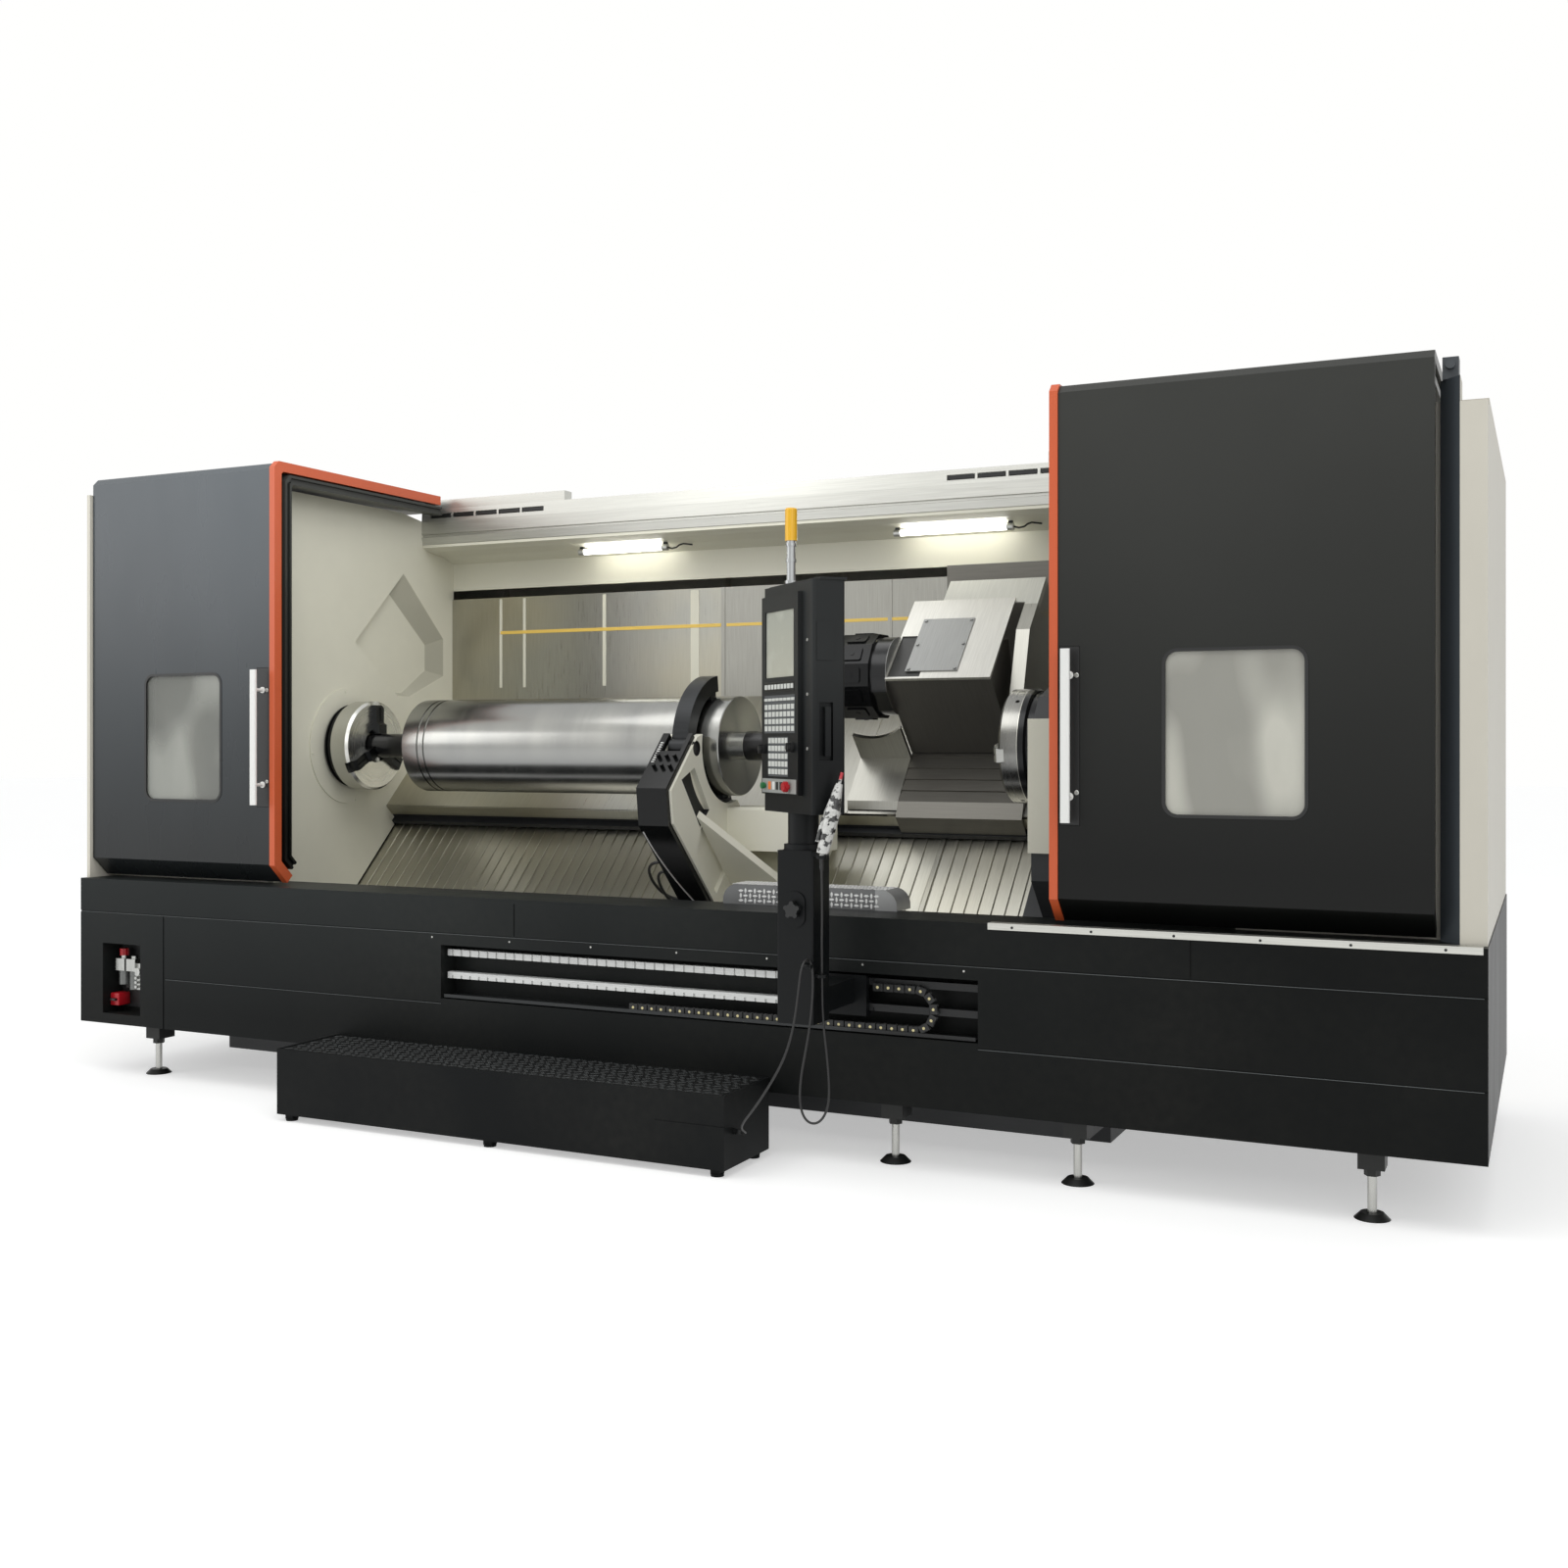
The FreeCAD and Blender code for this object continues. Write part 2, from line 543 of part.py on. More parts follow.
LAMP_XS = ((-1240.0, -700.0), (560.0, 1160.0))
LAMP_Z = 2668.0
LAMP_R = 14.0
LAMP_CAP_R = 17.0


def work_lamps():
    """Two tube lamps on brackets under the cove."""
    y = depth(WALL_SETBACK) - 140
    lamps = []
    for x0, x1 in LAMP_XS:
        tube = rod((x0 + 30, y, LAMP_Z), (1, 0, 0), LAMP_R, x1 - x0 - 60)
        caps = [rod((x, y, LAMP_Z), (1, 0, 0), LAMP_CAP_R, 32) for x in (x0, x1 - 32)]
        arms = [block((x + 6, x + 26), (y - 6, y + 12), (LAMP_Z + 10, LAMP_ARM_TOP)) for x in (x0, x1 - 32)]
        lamps.append(fused([tube] + caps + arms))
    return Part.makeCompound(lamps)


LAMP_ARM_TOP = 2694.5

COVER_SHEET = 3.0
COVER_SPANS = ((LEFT_WALL_X, -400.0), (700.0, RIGHT_WALL_X))


def cover_sheet(x0, x1, lift):
    """A folded sheet: the slope, the upright in front of the back wall and a short lower lip."""
    face = depth(WALL_SETBACK) - 12 - lift
    top_n = UPPER_COVER + lift
    low_n = top_n - COVER_SHEET
    corner_u = (face - AXIS_Y) / math.cos(SLANT) + top_n
    back_u = (face + COVER_SHEET - AXIS_Y) / math.cos(SLANT) + low_n
    start = STEP_U + 2
    outline = [slant(start, low_n), slant(start, top_n), slant(corner_u, top_n),
               (face, WALL_SLOT_Z[0] - 10), (face + COVER_SHEET, WALL_SLOT_Z[0] - 10), slant(back_u, low_n)]
    return bar_x(outline, x0, x1)


FASCIA_SHEET = 3.0


def slope_cover_fixed():
    """Fixed stainless covers left and right, under the moving ones, and the fascia on the slopes' step."""
    sheets = [slant_box(BACK_X, (STEP_U - FASCIA_SHEET, STEP_U), (UPPER_BED - 15, UPPER_COVER - 2))]
    for x0, x1 in COVER_SPANS:
        sheet = cover_sheet(x0, x1, 0)
        hem_x = (x1 - 30, x1) if x0 < 0 else (x0, x0 + 30)
        hem = cover_sheet(*hem_x, COVER_SHEET - 1)
        sheets.append(fused([sheet, hem]))
    return Part.makeCompound(sheets)


LAMELLA_PITCH = 62.0
LAMELLA_RISE = 7.0


def lamella_run(x0, x1):
    """Overlapping plates across the lower slope: a saw-toothed sheet drawn down the slope."""
    count = max(2, round((x1 - x0) / LAMELLA_PITCH))
    pitch = (x1 - x0) / count
    top, low = [], []
    for i in range(count):
        left = x0 + i * pitch
        top += [(left, LOWER_COVER - LAMELLA_RISE), (left + pitch, LOWER_COVER)]
    outline = top + [(x1, LOWER_COVER - LAMELLA_RISE - 4), (x0, LOWER_COVER - LAMELLA_RISE - 4)]
    points = []
    for x, n in outline:
        y, z = slant(LOWER_END_U, n)
        points.append(V(x, y, z))
    length = STEP_U - 1 - LOWER_END_U
    return extrude(points, V(0, length * math.cos(SLANT), length * math.sin(SLANT)))


STEADY_BASE_X = (-160.0, 420.0)
HEADSTOCK2_X = 1450.0           # left face of the second headstock's base
STANCHION_X = 950.0


def lamella_left():
    return lamella_run(LEFT_WALL_X, STEADY_BASE_X[0])


def lamella_right():
    """Two packs: from the steady rest to the fixed stanchion, and on to the second headstock."""
    stanchion = slant_box((STANCHION_X - 12, STANCHION_X + 12), (LOWER_END_U, STEP_U - 2),
                          (LOWER_BED, LOWER_COVER + 2))
    ways = [slant_box((STANCHION_X - 20, STANCHION_X + 20), (u - 1, u + WAY_WIDTH + 1),
                      (LOWER_BED - 1, LOWER_WAY_TOP + 1)) for u in LOWER_WAY_US]
    return Part.makeCompound([lamella_run(STEADY_BASE_X[1], STANCHION_X - 12), cut_all(stanchion, ways),
                              lamella_run(STANCHION_X + 12, HEADSTOCK2_X)])


# ------------------------------------------------------------------ doors

DOOR_SKIN = 40.0
DOOR_FACE = 50.0                # outer leaf's face behind the skirt's face
DOOR_FOLD_Z = 1075.0
DOOR_BEVEL = 87.0
INNER_BEVEL = 48.0
DOOR_ROOF_BACK = 1300.0
ROOF_RADIUS = 30.0
LEAF_GAP = 12.0
INNER_SKIN = 28.0
INNER_CHANNEL = 44.0
CHANNEL_WALL = 13.0
TRIM_WIDTH = 32.0
TRIM_PROUD = 7.0
LEFT_DOOR_X = (-3220.0, -2016.0)
DOOR_OUTER_X = (1749.0, 3082.0)


def leaf_outline(offset, skin, back=DOOR_ROOF_BACK, bevel=DOOR_BEVEL):
    """(y, z) outline of a door leaf: chamfered foot, upright face and roof, offset inwards."""
    face = depth(DOOR_FACE + offset)
    top = DOOR_TOP - offset
    slip = skin * math.tan(math.radians(22.5))
    low = DOOR_FOLD_Z + offset * math.tan(math.radians(22.5))
    foot = skin * math.cos(SLANT)
    return [
        (face, low), (face, top - ROOF_RADIUS), (face + ROOF_RADIUS, top), (depth(back), top),
        (depth(back), top - skin), (face + skin + 12, top - skin), (face + skin, top - skin - 12),
        (face + skin, low + slip), (face + bevel + foot, low - bevel + foot), (face + bevel, low - bevel),
    ]


def door_span(side, inner=False):
    """(outer x, opening x) of a door's leaf; side is -1 on the left and +1 on the right."""
    span = LEFT_DOOR_X if side < 0 else (DOOR_OUTER_X[1], DOOR_OUTER_X[0])
    return (span[0] - side * 10, span[1] - side * 12) if inner else span


def ordered(a, b):
    return (min(a, b), max(a, b))


WINDOW_SIZES = {-1: ((-2860.0, -2360.0), (1370.0, 1990.0)), 1: ((2170.0, 2670.0), (1388.0, 1991.0))}
WINDOW_RADIUS = 52.0
GLASS_THICKNESS = 10.0
GLASS_LAP = 18.0
HANDLE_X = {-1: -2096.0, 1: 1825.0}
HANDLE_Z = (1360.0, 2000.0)
HANDLE_WIDTH = 36.0
HANDLE_THICK = 16.0
STRIP_HALF = 38.0
STRIP_DEPTH = 4.0
HANDLE_STANDOFF = 62.0
POST_INSET = 95.0


def window_frame(side, grow, y0, y1):
    x, z = WINDOW_SIZES[side]
    return round_plate((x[0] - grow, x[1] + grow), (y0, y1), (z[0] - grow, z[1] + grow),
                       WINDOW_RADIUS + grow, (0, 1, 0))


def door_panel(side):
    """Outer leaf with its window opening, rebate, handle strip and black foot fold."""
    outer_x, opening_x = door_span(side)
    x = ordered(outer_x, opening_x + side * TRIM_WIDTH)
    leaf = bar_x(leaf_outline(0, DOOR_SKIN), *x)
    face = depth(DOOR_FACE)
    opening = window_frame(side, 0, face - 1, face + DOOR_SKIN + 1)
    rebate = window_frame(side, GLASS_LAP, face + 8, face + DOOR_SKIN + 1)
    strip_x = (HANDLE_X[side] - STRIP_HALF, HANDLE_X[side] + STRIP_HALF)
    strip = block(strip_x, (face - 1, face + STRIP_DEPTH), (HANDLE_Z[0] - 12, HANDLE_Z[1] + 12))
    hollow_roof = block((x[0] + 20, x[1] - 20), (face + 140, depth(DOOR_ROOF_BACK - 20)),
                        (DOOR_TOP - DOOR_SKIN - 1, DOOR_TOP - 6))
    bays = [block(bay, (face + 6, face + DOOR_SKIN + 1), (DOOR_FOLD_Z + 40, z_top))
            for bay, z_top in door_bays(side, x)]
    return cut_all(leaf, [opening, rebate, strip, hollow_roof] + bays)


def door_bays(side, x):
    """Hollow fields on the leaf's inner side, left and right of the window and clear of the strip."""
    win_x, win_z = WINDOW_SIZES[side]
    edge = 40.0
    bays = [((x[0] + edge, win_x[0] - 2 * edge), DOOR_TOP - 120),
            ((win_x[1] + 2 * edge, x[1] - edge), DOOR_TOP - 120),
            ((win_x[0] - edge, win_x[1] + edge), win_z[0] - 2 * edge)]
    return [bay for bay in bays if bay[0][1] - bay[0][0] > edge]


def door_trim(side):
    """Painted edge strip that caps the leaf's opening edge from the sill over the roof."""
    opening_x = door_span(side)[1]
    x = ordered(opening_x, opening_x + side * TRIM_WIDTH)
    return bar_x(leaf_outline(-TRIM_PROUD, DOOR_SKIN + TRIM_PROUD, DOOR_ROOF_BACK + 2), *x)


def door_window(side):
    """Laminated pane that sits in the rebate."""
    face = depth(DOOR_FACE)
    return window_frame(side, GLASS_LAP - 1, face + 8, face + 8 + GLASS_THICKNESS)


def door_handle(side):
    """Flat pull bar on two posts that stand in the dark strip."""
    x = HANDLE_X[side]
    base = depth(DOOR_FACE) + STRIP_DEPTH
    bar_y0 = depth(DOOR_FACE) - HANDLE_STANDOFF
    bar = round_plate((x - HANDLE_WIDTH / 2, x + HANDLE_WIDTH / 2),
                      (bar_y0 - HANDLE_THICK / 2, bar_y0 + HANDLE_THICK / 2), HANDLE_Z, 6, (0, 0, 1))
    post_zs = (HANDLE_Z[0] + POST_INSET, HANDLE_Z[1] - POST_INSET)
    posts = [rod((x, base, z), (0, -1, 0), 8, base - bar_y0) for z in post_zs]
    feet = [rod((x, base, z), (0, -1, 0), 15, 8) for z in post_zs]
    return fused([bar] + posts + feet)


def inner_door(side):
    """Second leaf that telescopes behind the outer one, with a deep channel at its opening edge."""
    outer_x, opening_x = door_span(side, inner=True)
    offset = DOOR_SKIN + LEAF_GAP
    face = depth(DOOR_FACE + offset)

    def bent(inset, skin):
        return leaf_outline(offset + inset, skin, bevel=INNER_BEVEL)
    leaf = bar_x(bent(0, INNER_SKIN), *ordered(outer_x, opening_x))
    channel = bar_x(bent(0, INNER_CHANNEL), *ordered(opening_x + side * 60, opening_x))
    groove = bar_x(bent(CHANNEL_WALL, INNER_CHANNEL - 2 * CHANNEL_WALL),
                   *ordered(opening_x + side * 12, opening_x - side))
    window = window_frame(side, 0, face - 1, face + INNER_SKIN + 1)
    return cut_all(fused([leaf, channel]), [groove, window])


# ------------------------------------------------------------------ main spindle and the work piece

CHUCK_X = (-2108.0, -1998.0)
CHUCK_R = 226.0
NOSE_R = 212.0
SPINDLE_R = 150.0
JOURNAL_R = 60.0
ROLL_X = (-1655.0, 100.0)
ROLL_R = 228.0
HEADSTOCK_X = (-3050.0, -2225.0)
JAW_WIDTH = 58.0
JAW_GRIP_GAP = 0.4
CHUCK_BORE_R = 86.0
SLOT_DEPTH_X = 26.0


def jaw_slots(face_x, direction, angles, radius):
    """T-slots across a chuck's face, one for each jaw."""
    slots = []
    for angle in angles:
        slot = block(ordered(face_x + direction, face_x - direction * SLOT_DEPTH_X),
                     (AXIS_Y, AXIS_Y + radius + 5),
                     (AXIS_Z - JAW_WIDTH / 2 - SLIDE_GAP, AXIS_Z + JAW_WIDTH / 2 + SLIDE_GAP))
        slot.rotate(V(0, AXIS_Y, AXIS_Z), V(1, 0, 0), angle)
        slots.append(slot)
    return slots


MAIN_JAW_ANGLES = (90.0, 210.0, 330.0)
SUB_JAW_ANGLES = (190.0, 310.0, 70.0)


def chuck_body(face_x, direction, radius, length, angles):
    """A power chuck: stepped disc, bevelled rim, deep bore and three slots."""
    back = face_x - direction * length
    pairs = [(back, radius - 8), (back + direction * 8, radius), (face_x - direction * 12, radius),
             (face_x, radius - 12)]
    body = turned(pairs if direction > 0 else pairs[::-1])
    bore = turned(sorted([(face_x - direction * 60, CHUCK_BORE_R), (face_x + direction, CHUCK_BORE_R)]))
    return cut_all(body, [bore] + jaw_slots(face_x, direction, angles, radius))


def main_chuck():
    """Spindle shaft, black nose ring with a groove, and the chuck in front of the wall."""
    groove = CHUCK_X[0] - 26
    spindle = turned([(HEADSTOCK_X[0] - 40, SPINDLE_R - RUNNING), (LEFT_WALL_X + 6, SPINDLE_R - RUNNING),
                      (LEFT_WALL_X + 12, SPINDLE_R + 10), (LEFT_WALL_X + 20, NOSE_R), (groove - 8, NOSE_R),
                      (groove - 8, NOSE_R - 14), (groove + 4, NOSE_R - 14), (groove + 4, NOSE_R),
                      (CHUCK_X[0] + 1, NOSE_R)])
    return fused([spindle, chuck_body(CHUCK_X[1], 1, CHUCK_R, CHUCK_X[1] - CHUCK_X[0], MAIN_JAW_ANGLES)])


def jaw(face_x, direction, angle, grip_r, radius):
    """A stepped jaw: base in the slot, a tall step at the grip and a lower one outside."""
    outline = [(-SLOT_DEPTH_X + SLIDE_GAP, grip_r), (44, grip_r), (44, grip_r + 46), (26, grip_r + 58),
               (26, radius - 34), (12, radius - 20), (-SLOT_DEPTH_X + SLIDE_GAP, radius - 20)]
    points = [V(face_x + direction * x, AXIS_Y + r, AXIS_Z - JAW_WIDTH / 2) for x, r in outline]
    solid = extrude(points, V(0, 0, JAW_WIDTH))
    grip = rod((face_x - direction * 80, AXIS_Y, AXIS_Z), (direction, 0, 0), grip_r + 0.01, 200)
    top = block(ordered(face_x + direction * 20, face_x + direction * 60), (AXIS_Y, AXIS_Y + radius),
                (AXIS_Z - 4, AXIS_Z + 4))
    seat = top.common(block((-9999, 9999), (AXIS_Y + grip_r + 64, AXIS_Y + radius), (0, 9999)))
    solid = cut_all(solid, [grip] + ([seat] if seat.Solids else []))
    solid.rotate(V(0, AXIS_Y, AXIS_Z), V(1, 0, 0), angle)
    return solid


def main_jaw(i):
    return jaw(CHUCK_X[1], 1, MAIN_JAW_ANGLES[i], JOURNAL_R + JAW_GRIP_GAP, CHUCK_R)


ROLL_GROOVES = (90.0, 128.0)
ROLL_END_X = 420.0


def turned_roll():
    """The clamped roll: journal, body with two grooves near its left end, and a stepped right end."""
    left, right = ROLL_X
    pairs = [(CHUCK_X[1] - 30, JOURNAL_R), (left, JOURNAL_R), (left, ROLL_R - 4), (left + 4, ROLL_R)]
    for start in ROLL_GROOVES:
        x = left + start
        pairs += [(x, ROLL_R), (x, ROLL_R - 7), (x + 9, ROLL_R - 7), (x + 9, ROLL_R)]
    pairs += [(right - 4, ROLL_R), (right, ROLL_R - 4), (right, 64), (right + 40, 64), (right + 40, 67),
              (right + 175, 67), (right + 175, 55), (right + 192, 55), (right + 192, 40), (ROLL_END_X, 40)]
    return turned(pairs)


HEADSTOCK_LOW_N = UPPER_BED + 40
HEADSTOCK_OUTLINE = [(-620, LOWER_WAY_TOP), (-600, 0), (-300, 300), (100, 300), (330, 70),
                     (330, HEADSTOCK_LOW_N), (-52, HEADSTOCK_LOW_N), (-52, LOWER_WAY_TOP)]


def main_headstock():
    """Cast headstock that carries the main spindle, with its motor housing behind."""
    body = slant_bar(HEADSTOCK_OUTLINE, *HEADSTOCK_X)
    length = HEADSTOCK_X[1] - HEADSTOCK_X[0]
    bore = rod((HEADSTOCK_X[0] - 1, AXIS_Y, AXIS_Z), (1, 0, 0), SPINDLE_R, length + 2)
    ribs = [slant_box((x - 12, x + 12), (-660, -590), (LOWER_WAY_TOP, 0)) for x in (-2950, -2640, -2330)]
    return fused([body] + ribs).cut(bore)


# ------------------------------------------------------------------ second headstock

CHUCK2_X = (1395.0, 1510.0)
CHUCK2_R = 240.0
SUB_BODY_X = (1560.0, 2290.0)
SUB_BASE_X = (HEADSTOCK2_X, 2300.0)
BASE_TOP = -450.0
GUARD_SETBACK = 415.0
GUARD_Z = (1215.0, 1750.0)
GUARD_X = (1554.0, 2280.0)


def sub_headstock():
    """Travelling headstock: base on the lower ways and a faceted body round the spindle."""
    base = slant_box(SUB_BASE_X, (-620, -60), (LOWER_WAY_TOP + SLIDE_GAP, BASE_TOP))
    front = depth(GUARD_SETBACK + 24)
    low = (front - AXIS_Y) / math.cos(SLANT)
    outline = [(-600, BASE_TOP - 1), (-600, -600 - low), (-600 + 20, -580 - low), (-165, -165 - low),
               (0, 285), (250, 150), (250, -200), (0, -330), (-60, BASE_TOP - 1)]
    body = slant_bar(outline, *SUB_BODY_X)
    bore = rod((SUB_BODY_X[0] - 1, AXIS_Y, AXIS_Z), (1, 0, 0), SPINDLE_R, SUB_BODY_X[1] - SUB_BODY_X[0] + 2)
    return fused([base, body]).cut(bore)


def sub_guard():
    """Cream sheet guard in front of the second headstock, with returned edges."""
    y0 = depth(GUARD_SETBACK)
    plate = block(GUARD_X, (y0 - SHEET, y0), GUARD_Z)
    returns = [block(GUARD_X, (y0 - 1, y0 + 24), z) for z in
               ((GUARD_Z[0], GUARD_Z[0] + SHEET), (GUARD_Z[1] - SHEET, GUARD_Z[1]))]
    cheek = block((GUARD_X[0], GUARD_X[0] + SHEET), (y0 - 1, y0 + 60), GUARD_Z)
    return fused([plate, cheek] + returns)


def sub_chuck():
    """Second chuck, facing left, with its black flange and spindle shaft."""
    flange = turned([(CHUCK2_X[1] - 1, CHUCK2_R - 14), (CHUCK2_X[1] + 34, CHUCK2_R - 14),
                     (CHUCK2_X[1] + 40, SPINDLE_R + 20), (SUB_BODY_X[0] - 4, SPINDLE_R + 20),
                     (SUB_BODY_X[0] - 4, SPINDLE_R - RUNNING), (SUB_BODY_X[1] + 30, SPINDLE_R - RUNNING)])
    holes = [rod((CHUCK2_X[0] + 60, *around_axis(CHUCK2_R + 1, a)), inward(a), 9, 16) for a in (130, 250, 10)]
    body = chuck_body(CHUCK2_X[0], -1, CHUCK2_R, CHUCK2_X[1] - CHUCK2_X[0], SUB_JAW_ANGLES)
    return cut_all(fused([body, flange]), holes)


def sub_jaw(i):
    return jaw(CHUCK2_X[0], -1, SUB_JAW_ANGLES[i], 95.0, CHUCK2_R)


# ------------------------------------------------------------------ steady rest

STEADY_X = (-120.0, 40.0)
ARM_X = (-80.0, 0.0)
ARM_CLEAR = 22.0                # between the roll and the arms
ARM_DEPTH = 72.0
ARM_R = (ROLL_R + ARM_CLEAR, ROLL_R + ARM_CLEAR + ARM_DEPTH)
THROAT_R = ARM_R[0] + 12
PIVOT_R = ARM_R[1] - 12
ARM_ROOM_R = ARM_R[1] + 63
SWING_ROOM_R = ARM_R[1] + 163
UPPER_PIVOT = 182.0
LOWER_PIVOT = 214.0
PIN_R = 20.0
SHOE_GAP = 1.0
FRAME_FRONT_N = 245.0
FRAME_LOW_U = -600.0
FRAME_BEND_U = -515.0
FRAME_BEND_N = 130.0
FRAME_TOP_U = -190.0
STEADY_FOOT_TOP = -505.0
STEADY_BOX_END = 480.0


def frame_outline():
    """(u, n) corners of the steady's side cheek from its foot round to the horn over the roll."""
    return [(FRAME_LOW_U, STEADY_FOOT_TOP), (FRAME_LOW_U, FRAME_BEND_N), (FRAME_BEND_U, FRAME_FRONT_N),
            (FRAME_TOP_U, FRAME_FRONT_N), (-120, 205)]


def steady_frame():
    """C-shaped casting: two cheeks joined behind the arms, foot, gusset and rear box."""
    body = slant_bar(frame_outline() + [(-120, STEADY_FOOT_TOP)], *STEADY_X)
    throat = rod((STEADY_X[0] - 1, AXIS_Y, AXIS_Z), (1, 0, 0), THROAT_R, STEADY_X[1] - STEADY_X[0] + 2)
    room_x = (ARM_X[0] - 8, ARM_X[1] + 8)
    arm_room = [rod((room_x[0], AXIS_Y, AXIS_Z), (1, 0, 0), ARM_ROOM_R, room_x[1] - room_x[0]),
                arc_bar(THROAT_R - 20, SWING_ROOM_R, 222, 305, *room_x)]
    pockets = [bar_x([around_axis(r, a) for r, a in ((345, 196), (470, 198), (455, 232), (345, 236))],
                     STEADY_X[1] - 26, STEADY_X[1] + 1),
               bar_x([around_axis(r, a) for r, a in ((352, 168), (352, 150), (395, 152), (420, 170))],
                     STEADY_X[1] - 26, STEADY_X[1] + 1),
               slant_bar([(-560, -380), (-560, -120), (-430, -60), (-350, -180), (-330, -380)],
                         STEADY_X[1] - 20, STEADY_X[1] + 1),
               rod((STEADY_X[1] - 10, *around_axis(PIVOT_R, UPPER_PIVOT)), (1, 0, 0), PIN_R + 14, 11)]
    foot = slant_box(STEADY_BASE_X, (-620, -60), (LOWER_WAY_TOP + SLIDE_GAP, STEADY_FOOT_TOP))
    sunk = STEADY_FOOT_TOP - 1
    gusset = extrude([V(STEADY_X[1] - 1, *slant(-440, 0)), V(STEADY_X[1] - 1, *slant(-440, sunk)),
                      V(350, *slant(-440, sunk)), V(330, *slant(-440, STEADY_FOOT_TOP + 20))],
                     V(0, 36 * math.cos(SLANT), 36 * math.sin(SLANT)))
    box = block((STEADY_X[1] - 1, STEADY_BOX_END), (depth(725), depth(975)), (1165, 1362))
    box = round_edges(box, 16, (1, 0, 0), lambda c: c.z > 1300)
    pins = [rod((ARM_X[0] - 10, *around_axis(PIVOT_R, a)), (1, 0, 0), PIN_R, ARM_X[1] - ARM_X[0] + 20)
            for a in (UPPER_PIVOT, LOWER_PIVOT)]
    frame = cut_all(fused([body, foot]), [throat] + arm_room + pockets)
    return fused([frame, gusset, box] + pins)


COVER_PROUD = 25.0


def steady_cover():
    """Black cover bent round the steady's front and lower side."""
    t = COVER_PROUD
    outline = [
        (FRAME_TOP_U, FRAME_FRONT_N), (FRAME_TOP_U, FRAME_FRONT_N + t),
        (FRAME_BEND_U - 0.4 * t, FRAME_FRONT_N + t), (FRAME_LOW_U - t, FRAME_BEND_N + 0.4 * t),
        (FRAME_LOW_U - t, STEADY_FOOT_TOP + 30), (FRAME_LOW_U, STEADY_FOOT_TOP + 30),
        (FRAME_LOW_U, FRAME_BEND_N), (FRAME_BEND_U, FRAME_FRONT_N),
    ]
    cover = slant_bar(outline, STEADY_X[0], STEADY_X[1] - 12)
    slot = slant_box((ARM_X[0] - 8, ARM_X[1] + 8), (-300, FRAME_TOP_U + 1),
                     (FRAME_FRONT_N - 1, FRAME_FRONT_N + t + 1))
    plugs = [rod((x, *slant(u, FRAME_FRONT_N + t - 1)), (0, -math.sin(SLANT), math.cos(SLANT)), 9, 22)
             for x in (-80, -40, 0) for u in (-340, -400)]
    return fused([cover.cut(slot)] + plugs)


def steady_arm(pivot_angle, start, end, shoe_angle):
    """A curved arm with an eye on its pin and a hardened shoe at its tip."""
    sector = arc_bar(ARM_R[0], ARM_R[1], min(start, end), max(start, end), *ARM_X)
    eye = rod((ARM_X[0], *around_axis(PIVOT_R, pivot_angle)), (1, 0, 0), 46, ARM_X[1] - ARM_X[0])
    shoe = arc_bar(ROLL_R + SHOE_GAP, ARM_R[0] + 2, shoe_angle - 6, shoe_angle + 6,
                   ARM_X[0] + 10, ARM_X[1] - 10)
    bore = rod((ARM_X[0] - 1, *around_axis(PIVOT_R, pivot_angle)), (1, 0, 0), PIN_R + RUNNING,
               ARM_X[1] - ARM_X[0] + 2)
    return fused([sector, eye, shoe]).cut(bore)


def steady_upper_arm():
    return steady_arm(UPPER_PIVOT, UPPER_PIVOT - 2, 97, 105)


def steady_lower_arm():
    return steady_arm(LOWER_PIVOT, LOWER_PIVOT + 2, 292, 284)


# ------------------------------------------------------------------ carriage, ram and turret

SADDLE_X = (750.0, 1342.0)
WING_X = 500.0                  # left end of the saddle's guard
SADDLE_TOP = -362.0
SADDLE_CLEAR = 14.0             # between the fixed cover and the saddle
LIP_U = (-42.0, -24.0)
LIP_N = STEP_RAIL_N[1] + SLIDE_GAP
RAM_X = (750.0, 1240.0)
RAM_FRONT_U = 312.0
RAM_TOP_N = 117.0
TURRET_U = 450.0
TURRET_R = 198.0
TURRET_X = (500.0, 672.0)
TURRET_FLANGE_R = 178.0
TURRET_SHAFT_R = 60.0
TURRET_FACES = 12
MOVING_COVER_X = (-450.0, 2250.0)
MOVING_LIFT = 8.0               # moving cover above the fixed one
SADDLE_STEPS = (30.0, 95.0, 160.0, 225.0, 296.0)


